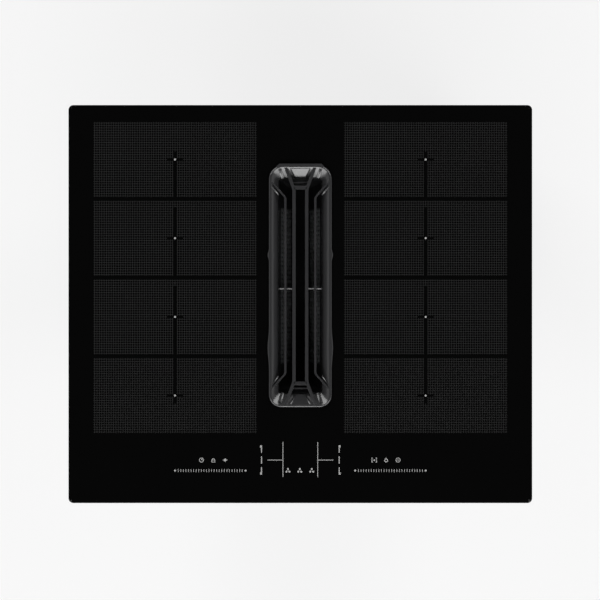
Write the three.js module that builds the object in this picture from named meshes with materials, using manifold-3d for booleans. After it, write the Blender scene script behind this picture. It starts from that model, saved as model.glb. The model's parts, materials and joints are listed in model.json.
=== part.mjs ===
// Downdraft induction cooktop for a 560 x 490 mm worktop cut-out.
// Millimetres, +Z up, +Y to the back. The origin is the centre of the glass
// outline, on the worktop's upper face.
import * as THREE from 'three';
import { mergeVertices } from 'three/addons/utils/BufferGeometryUtils.js';
import Module from 'manifold-3d';

const wasm = await Module();
wasm.setup();

// ---------------------------------------------------------------- driving sizes

// Glass, foam seal and the worktop
const GLASS_WIDTH = 600;
const GLASS_DEPTH = 515;
const GLASS_THICKNESS = 4;
const GLASS_CORNER_RADIUS = 6;
const FACET_WIDTH = 4;
const FACET_DROP = 1.2;
const SEAL_THICKNESS = 2;
const SEAL_WIDTH = 8;
const SEAL_INSET = 3;
const LAP_SIDE = 20; // glass past the cut-out, left and right
const LAP_END = 12.5; // glass past the cut-out, front and back
const CUTOUT_GAP = 4;
const WORKTOP_THICKNESS = 40;

// Sheet-steel tray
const TRAY_HEIGHT = 50;
const TRAY_SHEET = 1.2;
const TRAY_LIP = 5;
const TRAY_CORNER = 5;
const COLLAR_HEIGHT = 8;
const COLLAR_GAP = 1.5;
const LOUVRE_WIDTH = 4;
const LOUVRE_HEIGHT = 18;
const LOUVRE_PITCH = 16;
const LOUVRE_COUNT = 8;
const LOUVRE_CENTRE_Y = 40;

// Inlet grille
const GRILLE_WIDTH = 81.2;
const GRILLE_LENGTH = 310.8;
const GRILLE_CENTRE_Y = 24;
const GRILLE_BROW = 1.9; // the rim's ends bulge by this much
const GRILLE_SWELL = 1.7; // and its long sides, at two places
const RIM_RISE = 3;
const RIM_BAND = 3.6;
const RIM_END_BAND = 2.6;
const RIM_LAP = 1.6;
const RIM_CORNER = 14.4;
const THROAT_SIDE_INSET = 13.2;
const THROAT_END_INSET = 15.9;
const THROAT_WIDTH = GRILLE_WIDTH - 2 * THROAT_SIDE_INSET;
const THROAT_LENGTH = GRILLE_LENGTH - 2 * THROAT_END_INSET;
const THROAT_CORNER = 5;
const DISH_DEPTH = 7.5; // the funnel's shallow upper part
const THROAT_DRAFT = 1.2; // the throat narrows by this much below the dish
const FUNNEL_DEPTH = 20;
const FUNNEL_WALL = 2;
const MAIN_BAR_WIDTH = 4.4;
const MAIN_BAR_SPACING = 16.4;
const MAIN_BAR_BEND = 15.5; // from the throat's end to the bars' bend
const MAIN_BAR_STRAIGHT = THROAT_LENGTH - 2 * MAIN_BAR_BEND;
const MAIN_BAR_SPREAD = 38; // between the bars where they meet the rim's ends
const SIDE_BAR_WIDTH = 2.9;
const SIDE_BAR_SPACING = 38.6;
const SIDE_BAR_BEND = 25.6;
const SIDE_BAR_END = 4.5;
const SIDE_BAR_STRAIGHT = THROAT_LENGTH - 2 * SIDE_BAR_BEND;
const SIDE_BAR_REACH = THROAT_LENGTH - 2 * SIDE_BAR_END; // length over which the side bars end on the rim
const BAR_DEPTH = 9;
const CROSS_BAR_WIDTH = 4.8;
const CROSS_BAR_OFFSET = 2.5; // past the end of the main bars' straight length
const BAR_DROP = 0.4; // bars lie this far below the rim's top
const TIE_WIDTH = 2.4;
const TIE_OFFSET = 9.2;
const STEP_RIB_WIDTH = 1.4;
const STEP_RIB_OFFSET = 3.6;
const STEP_RIB_DROP = 0.6;
const PAD_HEIGHT = 1.6;
const GRILLE_GAP = 0.5; // between the funnel's skirt and the glass
const SWELL_SHORT_SHARE = 0.127; // of the grille's length, from its middle
const SWELL_LONG_SHARE = -0.26;
const SWELL_SHORT = { at: SWELL_SHORT_SHARE * GRILLE_LENGTH, length: 17 };
const SWELL_LONG = { at: SWELL_LONG_SHARE * GRILLE_LENGTH, length: 56 };
const SWELL_STEPS = 4;
const RIM_END_STEPS = 6;
const RIM_CORNER_STEPS = 4;

// Facets
const ROUND_SIDES = 24;
const SMALL_SIDES = 8;

// Grease filter basket
const FILTER_GAP = 1;
const FILTER_FLANGE = 2;
const FILTER_HEADROOM = 2;
const FILTER_DEPTH = 50;
const FILTER_WALL = 2;
const FILTER_FLOOR_WIDTH = 18;
const FILTER_END_SLOPE = 8;
const MESH_INSET = 36.5;
const MESH_LENGTH = THROAT_LENGTH - 2 * MESH_INSET;
const MESH_DIVIDER = 3;
const MESH_DIVIDER_Y = -4;
const MESH_THICKNESS = 1;
const MESH_LAP = 3;
const MESH_MARGIN = 5;
const MESH_SLOTS = 18;
const MESH_WEB = 2.4;

// Inlet shaft
const SHAFT_SETBACK = 1;
const SHAFT_WALL = 2.5;
const SHAFT_FLANGE = 6;
const SHAFT_FLANGE_THICKNESS = 2.5;
const SHAFT_PLUG = 8;
const GASKET_THICKNESS = 1.5;
const LEDGE_WIDTH = 6;
const LEDGE_THICKNESS = 2.5;

// Coils and what carries them
const ZONE_ROWS = 4;
const ZONE_INNER_MARGIN = 8;
const ZONE_OUTER_MARGIN = 3.4;
const ZONE_BACK_MARGIN = 0.6;
const CONTROL_STRIP = 73;
const ZONE_GAP = 4.8;
const COIL_MARGIN = 3;
const COIL_BAND = 26;
const COIL_THICKNESS = 5;
const COIL_GROOVE = 1.2;
const COIL_GROOVES = 1;
const COIL_CORNER_STEPS = 3;
const LEG_SILL = 6;
const MICA_THICKNESS = 0.8;
const CARRIER_THICKNESS = 2.5;
const CARRIER_LEG = 1.5;
const FERRITE_HEIGHT = 4;
const FERRITE_WIDTH = 12;
const SENSOR_RADIUS = 7;

// Electronics
const BOARD_THICKNESS = 1.6;
const BOARD_STANDOFF = 8;
const BOARD_MARGIN = 5;
const HEATSINK_WIDTH = 60;
const HEATSINK_LENGTH = 110;
const HEATSINK_HEIGHT = 22;
const HEATSINK_BASE = 4;
const FIN_COUNT = 8;
const FIN_THICKNESS = 1.6;
const COOLER_SIZE = 80;
const COOLER_HEIGHT = 18;
const COOLER_BORE = 75;
const COOLER_HUB = 34;
const COOLER_BLADES = 7;
const COOLER_TIP_GAP = 1.5;
const COOLER_MARGIN = 4;
const COOLER_PITCH = Math.PI / 4;
const SPIDER_THICKNESS = 2;
const SPINDLE_RADIUS = 2;
const INTAKE_SLOTS = 5;
const INTAKE_WIDTH = 6;
const INTAKE_MARGIN = 3;
const CAPACITOR_RADIUS = 11;
const CAPACITOR_HEIGHT = 19;
const CAPACITOR_COUNT = 3;
const CAPACITOR_PITCH = 28;
const CHOKE_RADIUS = 17;
const CHOKE_HEIGHT = 15;
const RELAY_SIZE = 20;
const RELAY_HEIGHT = 14;
const RELAY_PITCH = 32;
const POST_RADIUS = 4;
const TOUCH_PADS = 9;
const TOUCH_RADIUS = 5;
const CONTROL_BOARD_MARGIN = 18.8; // from the two cooling fans
const CONTROL_BOARD_DEPTH = 60;
const TOUCH_HEIGHT = 6;
const CONTROL_CARRIER_THICKNESS = 2.4;
const CARRIER_POST_PLACE = 0.4; // share of the half width at which the inner posts stand

// Extractor housing
const COVER_GAP = 3;
const COVER_THICKNESS = 3;
const BOX_WALL = 2.5;
const BOX_FLANGE = 3;
const CHAMBER_MARGIN = 5;
const SUCTION_HEIGHT = 29.5;
const PLATE_THICKNESS = 2.5;
const PLATE_LEDGE = 3;
const SCROLL_HEIGHT = 79.5;
const SCROLL_GROWTH = 26;
const SCROLL_CENTRE_Y = -10;
const TONGUE_GAP = 7;
const TONGUE_ANGLE = 60;
const TONGUE_SWING = 2;
const SCROLL_STEP = 12;
const SUCTION_WINDOW = 130;
const COVER_BOSS = 7;
const BELL_STEPS = 2;
const DUCT_WIDTH = 222;
const DUCT_HEIGHT = 89;
const DUCT_WALL = 2.5;
const DUCT_CORNER = 6;
const SPIGOT_LENGTH = 27;
const SPIGOT_FLANGE = 5;
const SPIGOT_FLANGE_THICKNESS = 3;
const DUCT_NECK = 20; // straight run before the spigot
const DUCT_JOINT_GAP = 2; // from the drum's flange to the duct's joint

// Extractor fan
const IMPELLER_RADIUS = 78;
const IMPELLER_HEIGHT = 66;
const IMPELLER_BLADES = 24;
const BLADE_THICKNESS = 1.2;
const BLADE_CHORD = 14;
const IMPELLER_PLATE = 2;
const FLOOR_GAP = 3;
const MOTOR_RADIUS = 44;
const MOTOR_HEIGHT = 46;
const MOTOR_FLANGE = 10;
const MOTOR_FLANGE_THICKNESS = 3;
const HUB_GAP = 3;
const SHAFT_RADIUS = 4;
const RUNNING_GAP = 0.3;
const EYE_LAP = 5;
const BELL_RADIUS = 8;
const BELL_WALL = 2;
const BLADE_SWEEP = 12; // degrees that a blade leads at its tip
const NUT_RADIUS = 9;
const NUT_HEIGHT = 7;

// Overflow tank
const TANK_SEAL = 1.5;
const TANK_FLANGE = 4;
const TANK_DEPTH = 41;
const TANK_WALL = 2.2;
const TANK_TAPER = 4;
const TANK_CORNER = 14;
const TANK_FLANGE_THICKNESS = 2.5;
const GRIP_WIDTH = 40;
const TONGUE_HEIGHT = 12;

// Mains connection, fan control box and worktop clamps
const TERMINAL_WIDTH = 100;
const TERMINAL_DEPTH = 78;
const TERMINAL_HEIGHT = 34;
const TERMINAL_WAYS = 6;
const TERMINAL_WALL = 2;
const TERMINAL_CLEARANCE = 12;
const TERMINAL_BLOCK_DEPTH = 28;
const TERMINAL_BLOCK_HEIGHT = 18;
const TERMINAL_SIDE = 37.5; // from the tray's side wall
const TERMINAL_BACK = 12; // from the tray's back wall
const GLAND_RADIUS = 11;
const CABLE_RADIUS = 7;
const GLAND_LIP = 3;
const GLAND_NUT = 3;
const GLAND_LENGTH = 9;
const CONTROL_BOX_WIDTH = 90;
const CONTROL_BOX_LENGTH = 150;
const CONTROL_BOX_HEIGHT = 36;
const CONTROL_BOX_SIDE = 67.5; // from the tray's side wall
const CONTROL_BOX_Y = -30;
const CONTROL_BOX_CORNER = 6;
const CONTROL_BOX_LIP = 2;
const CLAMP_WIDTH = 24;
const CLAMP_SHEET = 1.6;
const CLAMP_REACH = 12; // past the cut-out's edge, under the worktop
const CLAMP_BASE = 34;
const CLAMP_FRONT_INSET = 126; // from the tray's front wall
const CLAMP_BACK_INSET = 51; // from the tray's back wall
const SCREW_RADIUS = 2;
const SCREW_GAP = 0.3;
const SCREW_HEAD_RADIUS = 4;
const SCREW_HEAD_HEIGHT = 2.4;
const SCREW_REACH = 3;

// ---------------------------------------------------------------- derived places

const GLASS_UNDER = SEAL_THICKNESS;
const GLASS_TOP = GLASS_UNDER + GLASS_THICKNESS;
const CUTOUT_X = GLASS_WIDTH / 2 - LAP_SIDE;
const TRAY_X = CUTOUT_X - CUTOUT_GAP;
const TRAY_Y = GLASS_DEPTH / 2 - LAP_END - CUTOUT_GAP;
const TRAY_BOTTOM = GLASS_UNDER - TRAY_HEIGHT;
const TRAY_FLOOR = TRAY_BOTTOM + TRAY_SHEET;

const HOLE_X = GRILLE_WIDTH / 2 - RIM_LAP;
const HOLE_Y = GRILLE_LENGTH / 2 - RIM_LAP;
const GRILLE_BOTTOM = GLASS_TOP - FUNNEL_DEPTH;

const SHAFT_X = HOLE_X + SHAFT_SETBACK;
const SHAFT_Y = HOLE_Y + SHAFT_SETBACK;
const SHAFT_TOP = GLASS_UNDER - GASKET_THICKNESS;
const FILTER_TOP = GRILLE_BOTTOM - FILTER_HEADROOM;
const LEDGE_TOP = FILTER_TOP - FILTER_FLANGE;
const COVER_TOP = TRAY_BOTTOM - COVER_GAP;
const COVER_UNDER = COVER_TOP - COVER_THICKNESS;
const SHAFT_BOTTOM = COVER_UNDER - SHAFT_PLUG;

const ZONE_INNER_X = SHAFT_X + SHAFT_WALL + SHAFT_FLANGE + ZONE_INNER_MARGIN;
const ZONE_OUTER_X = TRAY_X - TRAY_LIP - ZONE_OUTER_MARGIN;
const ZONE_WIDTH = ZONE_OUTER_X - ZONE_INNER_X;
const ZONE_CENTRE_X = (ZONE_INNER_X + ZONE_OUTER_X) / 2;
const ZONE_BACK_Y = TRAY_Y - TRAY_LIP - ZONE_BACK_MARGIN;
const ZONE_FRONT_Y = -TRAY_Y + TRAY_SHEET + CONTROL_STRIP;
const ZONE_PITCH = (ZONE_BACK_Y - ZONE_FRONT_Y + ZONE_GAP) / ZONE_ROWS;
const MICA_UNDER = GLASS_UNDER - MICA_THICKNESS;
const COIL_UNDER = MICA_UNDER - COIL_THICKNESS;
const CARRIER_UNDER = COIL_UNDER - CARRIER_THICKNESS;

const COOLER_X = TRAY_X - TRAY_SHEET - COOLER_MARGIN - COOLER_SIZE / 2;
const COOLER_Y = -TRAY_Y + TRAY_SHEET + COOLER_MARGIN + COOLER_SIZE / 2;
const BOARD_UNDER = TRAY_FLOOR + BOARD_STANDOFF;
const BOARD_TOP = BOARD_UNDER + BOARD_THICKNESS;
const BOARD_FRONT_Y = COOLER_Y + COOLER_SIZE / 2 + BOARD_MARGIN;
const BOARD_BACK_Y = ZONE_BACK_Y - BOARD_MARGIN;
const BOARD_INNER_X = ZONE_INNER_X + CARRIER_LEG + BOARD_MARGIN;
const BOARD_OUTER_X = ZONE_OUTER_X - CARRIER_LEG - BOARD_MARGIN;
const CONTROL_BOARD_WIDTH = 2 * (COOLER_X - COOLER_SIZE / 2 - CONTROL_BOARD_MARGIN);
const CONTROL_Y = -TRAY_Y + TRAY_SHEET + CONTROL_STRIP / 2;
const CONTROL_BOARD_TOP = GLASS_UNDER - TOUCH_HEIGHT;

const CHAMBER_X = SHAFT_X + SHAFT_WALL + CHAMBER_MARGIN;
const CHAMBER_Y = SHAFT_Y + SHAFT_WALL + CHAMBER_MARGIN;
const PLATE_TOP = COVER_UNDER - SUCTION_HEIGHT;
const PLATE_UNDER = PLATE_TOP - PLATE_THICKNESS;
const SCROLL_FLOOR = PLATE_UNDER - SCROLL_HEIGHT;
const BOX_BOTTOM = SCROLL_FLOOR - BOX_WALL;
const FULL_TURN = 360;
const SCROLL_TURN = FULL_TURN - TONGUE_ANGLE;
const SCROLL_SKIN = PLATE_LEDGE + BOX_WALL;
const DRUM_LEFT = CHAMBER_X + BOX_WALL + RUNNING_GAP + BOX_FLANGE;
const SCROLL_X = DRUM_LEFT + SCROLL_SKIN + scrollRadius(FULL_TURN / 2);
const SCROLL_RIGHT = SCROLL_X + scrollRadius(FULL_TURN) + SCROLL_SKIN;
const DUCT_X = SCROLL_RIGHT - DUCT_WIDTH / 2;
const DUCT_Z = (BOX_BOTTOM + PLATE_TOP) / 2;
const SPIGOT_END_Y = TRAY_Y - 1;
const BOX_BACK_Y = SPIGOT_END_Y - SPIGOT_LENGTH - SPIGOT_FLANGE_THICKNESS;
const DRUM_BACK_Y = SCROLL_CENTRE_Y + scrollRadius(FULL_TURN / 4) + SCROLL_SKIN + BOX_FLANGE;
const DUCT_JOINT_Y = DRUM_BACK_Y + BOX_FLANGE + DUCT_JOINT_GAP;
const HUB_RADIUS = MOTOR_RADIUS + HUB_GAP;
const MOTOR_TOP = BOX_BOTTOM + MOTOR_HEIGHT;
const HUB_TOP = MOTOR_TOP + HUB_GAP + IMPELLER_PLATE;
const IMPELLER_UNDER = SCROLL_FLOOR + FLOOR_GAP;
const EYE_RADIUS = IMPELLER_RADIUS - BLADE_CHORD;
const TANK_TOP = BOX_BOTTOM - TANK_SEAL;

// Inner radius of the fan scroll at an angle in degrees; it grows from the tongue on.
function scrollRadius(angle) {
  const start = IMPELLER_RADIUS + TONGUE_GAP;
  return start + (SCROLL_GROWTH * (angle - TONGUE_ANGLE)) / SCROLL_TURN;
}

// ---------------------------------------------------------------- shape helpers

function solid(geometry) {
  const bare = geometry.clone();
  bare.deleteAttribute('normal');
  bare.deleteAttribute('uv');
  const merged = mergeVertices(bare, 1e-4);
  const triVerts = [];
  const index = merged.index.array;
  for (let i = 0; i < index.length; i += 3) {
    const [a, b, c] = [index[i], index[i + 1], index[i + 2]];
    if (a !== b && b !== c && c !== a) triVerts.push(a, b, c);
  }
  return new wasm.Manifold(new wasm.Mesh({
    numProp: 3,
    vertProperties: new Float32Array(merged.attributes.position.array),
    triVerts: new Uint32Array(triVerts),
  }));
}

function geometryOf(manifold) {
  const mesh = manifold.getMesh();
  const geometry = new THREE.BufferGeometry();
  geometry.setAttribute('position', new THREE.BufferAttribute(mesh.vertProperties, 3));
  geometry.setIndex(new THREE.BufferAttribute(mesh.triVerts, 1));
  return geometry;
}

function joined(parts) {
  return parts.reduce((whole, part) => whole.add(part));
}

function without(body, cuts) {
  return body.subtract(joined(cuts));
}

function box(x0, x1, y0, y1, z0, z1) {
  const geometry = new THREE.BoxGeometry(x1 - x0, y1 - y0, z1 - z0);
  return solid(geometry.translate((x0 + x1) / 2, (y0 + y1) / 2, (z0 + z1) / 2));
}

function cylinder(x, y, radius, z0, z1, sides = ROUND_SIDES) {
  const geometry = new THREE.CylinderGeometry(radius, radius, z1 - z0, sides);
  return solid(geometry.rotateX(Math.PI / 2).translate(x, y, (z0 + z1) / 2));
}

function prism(shape, z0, z1, curveSegments = 2) {
  const options = { depth: z1 - z0, bevelEnabled: false, curveSegments };
  return solid(new THREE.ExtrudeGeometry(shape, options).translate(0, 0, z0));
}

// A body of revolution about a vertical axis from a closed profile of [radius, z].
function revolve(profile, x, y, sides = ROUND_SIDES) {
  const points = profile.map(([radius, z]) => new THREE.Vector2(radius, z));
  points.push(points[0].clone());
  const geometry = new THREE.LatheGeometry(points, sides);
  return solid(geometry.rotateX(Math.PI / 2).translate(x, y, 0));
}

// A prism along Y from a shape drawn in X and Z.
function prismY(shape, y0, y1, curveSegments = 2) {
  const options = { depth: y1 - y0, bevelEnabled: false, curveSegments };
  const geometry = new THREE.ExtrudeGeometry(shape, options);
  return solid(geometry.rotateX(Math.PI / 2).translate(0, y1, 0));
}

function roundedRectangle(halfX, halfY, radius, centreX = 0, centreY = 0) {
  const r = Math.min(radius, halfX * 0.98, halfY * 0.98);
  const shape = new THREE.Shape();
  shape.absarc(centreX + halfX - r, centreY + halfY - r, r, 0, Math.PI / 2);
  shape.absarc(centreX - halfX + r, centreY + halfY - r, r, Math.PI / 2, Math.PI);
  shape.absarc(centreX - halfX + r, centreY - halfY + r, r, Math.PI, 1.5 * Math.PI);
  shape.absarc(centreX + halfX - r, centreY - halfY + r, r, 1.5 * Math.PI, 2 * Math.PI);
  return shape;
}

function polygon(points) {
  return new THREE.Shape(points.map(([x, y]) => new THREE.Vector2(x, y)));
}

// One corner-rounded contour with the same number of points at any size.
function contour(halfX, halfY, radius, z, centreY = 0, cornerSteps = 4) {
  const points = [];
  const r = Math.max(0.2, Math.min(radius, halfX * 0.98, halfY * 0.98));
  const corners = [[1, 1], [-1, 1], [-1, -1], [1, -1]];
  corners.forEach(([sx, sy], quarter) => {
    for (let step = 0; step <= cornerSteps; step += 1) {
      const angle = (Math.PI / 2) * (quarter + step / cornerSteps);
      points.push(new THREE.Vector3(
        sx * (halfX - r) + r * Math.cos(angle),
        centreY + sy * (halfY - r) + r * Math.sin(angle),
        z,
      ));
    }
  });
  return points;
}

// Skins a stack of contours; closed = true joins the last contour to the first.
function loft(contours, closed = false) {
  const count = contours[0].length;
  const positions = contours.flat().flatMap((point) => [point.x, point.y, point.z]);
  const index = [];
  const last = closed ? contours.length : contours.length - 1;
  for (let level = 0; level < last; level += 1) {
    const low = level * count;
    const high = ((level + 1) % contours.length) * count;
    for (let i = 0; i < count; i += 1) {
      const next = (i + 1) % count;
      index.push(low + i, low + next, high + next, low + i, high + next, high + i);
    }
  }
  if (!closed) {
    const top = (contours.length - 1) * count;
    const flat = (ring) => ring.map((point) => new THREE.Vector2(point.x, point.y));
    THREE.ShapeUtils.triangulateShape(flat(contours[0]), []).forEach(([a, b, c]) => {
      index.push(a, c, b);
    });
    THREE.ShapeUtils.triangulateShape(flat(contours.at(-1)), []).forEach(([a, b, c]) => {
      index.push(top + a, top + b, top + c);
    });
  }
  const geometry = new THREE.BufferGeometry();
  geometry.setAttribute('position', new THREE.Float32BufferAttribute(positions, 3));
  geometry.setIndex(index);
  return solid(geometry);
}

// A flat bar of even width along a bent centre line, with mitred bends.
function bentBar(points, width, z0, z1) {
  const path = points.map(([x, y]) => new THREE.Vector2(x, y));
  const left = [];
  const right = [];
  path.forEach((point, i) => {
    const before = path[Math.max(i - 1, 0)];
    const after = path[Math.min(i + 1, path.length - 1)];
    const into = point.clone().sub(i ? before : point.clone().sub(after).add(point)).normalize();
    const out = (i < path.length - 1 ? after.clone().sub(point) : into.clone()).normalize();
    const normal = new THREE.Vector2(-(into.y + out.y), into.x + out.x).normalize();
    const reach = width / 2 / Math.max(0.4, normal.dot(new THREE.Vector2(-out.y, out.x)));
    left.push(point.clone().addScaledVector(normal, reach));
    right.unshift(point.clone().addScaledVector(normal, -reach));
  });
  return prism(new THREE.Shape([...left, ...right]), z0, z1);
}

const assembly = new THREE.Group();

function node(name, body, material) {
  const mesh = new THREE.Mesh(geometryOf(body), material.clone());
  mesh.name = name;
  assembly.add(mesh);
}

function finish(color, roughness, metalness) {
  return new THREE.MeshStandardMaterial({ color, roughness, metalness });
}

const blackGlass = finish(0x070707, 0.08, 0);
const blackPlastic = finish(0x1c1c1d, 0.5, 0);
const greyPlastic = finish(0x3a3c3e, 0.6, 0);
const whitePlastic = finish(0xd8d6cf, 0.6, 0);
const foam = finish(0x2a2a2b, 0.95, 0);
const steelSheet = finish(0xa9adb0, 0.45, 1);
const aluminium = finish(0xc4c7c9, 0.4, 1);
const copper = finish(0xb46a3c, 0.45, 1);
const mica = finish(0xb9ad93, 0.7, 0);
const circuitBoard = finish(0x1f5a34, 0.6, 0);
const motorSteel = finish(0x8d9296, 0.4, 1);
const rubber = finish(0x161616, 0.9, 0);

// ---------------------------------------------------------------- glass and seals

function glassTop() {
  const outline = (inset, z) => contour(
    GLASS_WIDTH / 2 - inset,
    GLASS_DEPTH / 2 - inset,
    GLASS_CORNER_RADIUS - inset,
    z,
  );
  const plate = loft([
    outline(0, GLASS_UNDER),
    outline(0, GLASS_TOP - FACET_DROP),
    outline(FACET_WIDTH, GLASS_TOP),
  ]);
  const hole = roundedRectangle(HOLE_X, HOLE_Y, RIM_CORNER - RIM_LAP, 0, GRILLE_CENTRE_Y);
  return without(plate, [prism(hole, GLASS_UNDER - 1, GLASS_TOP + 1)]);
}

// A flat rectangular ring, such as a seal.
function flatRing(innerX, innerY, width, corner, z0, z1, centreY = 0) {
  const outer = roundedRectangle(innerX + width, innerY + width, corner + width, 0, centreY);
  outer.holes.push(roundedRectangle(innerX, innerY, corner, 0, centreY));
  return prism(outer, z0, z1);
}

node('glass_top', glassTop(), blackGlass);
node('worktop_seal', flatRing(
  GLASS_WIDTH / 2 - SEAL_INSET - SEAL_WIDTH,
  GLASS_DEPTH / 2 - SEAL_INSET - SEAL_WIDTH,
  SEAL_WIDTH,
  1,
  0,
  GLASS_UNDER,
), foam);
node('shaft_gasket', flatRing(
  SHAFT_X,
  SHAFT_Y,
  SHAFT_WALL + SHAFT_FLANGE,
  RIM_CORNER,
  SHAFT_TOP,
  GLASS_UNDER,
  GRILLE_CENTRE_Y,
), foam);

// ---------------------------------------------------------------- inlet grille

const RIM_TOP = GLASS_TOP + RIM_RISE;
const THROAT_X = THROAT_WIDTH / 2;
const THROAT_Y = THROAT_LENGTH / 2;

// 0 to 1 over the middle of a stretch, with soft ends.
function bump(position, centre, length) {
  const t = Math.abs(position - centre) / (length / 2);
  return t < 1 ? Math.cos((t * Math.PI) / 2) : 0;
}

// The rim's outer contour: a rounded rectangle with small swells on its four sides.
function rimContour(inset, z) {
  const halfX = GRILLE_WIDTH / 2 - inset;
  const halfY = GRILLE_LENGTH / 2 - inset;
  const corner = RIM_CORNER - inset;
  const points = [];
  const side = (sign) => {
    const run = [SWELL_LONG, SWELL_SHORT].flatMap(({ at, length }) => {
      const swell = [];
      for (let i = -SWELL_STEPS; i <= SWELL_STEPS; i += 1) {
        const y = at + (i * length) / 2 / SWELL_STEPS;
        swell.push([sign * (halfX + GRILLE_SWELL * bump(y, at, length)), y]);
      }
      return swell;
    });
    points.push(...(sign > 0 ? run : run.reverse()));
  };
  const end = (sign) => {
    for (let i = 1; i < RIM_END_STEPS; i += 1) {
      const x = (halfX - corner) * (1 - (2 * i) / RIM_END_STEPS) * sign;
      points.push([x, sign * (halfY + GRILLE_BROW * bump(x, 0, 2 * (halfX - corner)))]);
    }
  };
  const turn = (signX, signY, quarter) => {
    for (let step = 0; step <= RIM_CORNER_STEPS; step += 1) {
      const angle = (Math.PI / 2) * (quarter + step / RIM_CORNER_STEPS);
      points.push([
        signX * (halfX - corner) + corner * Math.cos(angle),
        signY * (halfY - corner) + corner * Math.sin(angle),
      ]);
    }
  };
  side(1);
  turn(1, 1, 0);
  end(1);
  turn(-1, 1, 1);
  side(-1);
  turn(-1, -1, 2);
  end(-1);
  turn(1, -1, 3);
  return points.map(([x, y]) => new THREE.Vector3(x, y + GRILLE_CENTRE_Y, z));
}

// The funnel's surface, a shallow dish over a steep throat, moved out by offset.
function funnel(offset, lowZ, highZ) {
  const ring = (halfX, halfY, corner, z) => contour(
    halfX + offset,
    halfY + offset,
    corner + offset,
    z,
    GRILLE_CENTRE_Y,
  );
  const foot = [THROAT_X, THROAT_Y, THROAT_CORNER];
  const dish = foot.map((size) => size + THROAT_DRAFT);
  const mouth = [
    GRILLE_WIDTH / 2 - RIM_BAND,
    GRILLE_LENGTH / 2 - RIM_END_BAND,
    RIM_CORNER - RIM_BAND,
  ];
  const rings = [ring(...foot, lowZ), ring(...dish, RIM_TOP - DISH_DEPTH), ring(...mouth, RIM_TOP)];
  if (highZ > RIM_TOP) rings.push(ring(...mouth, highZ));
  return loft(rings);
}

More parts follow.
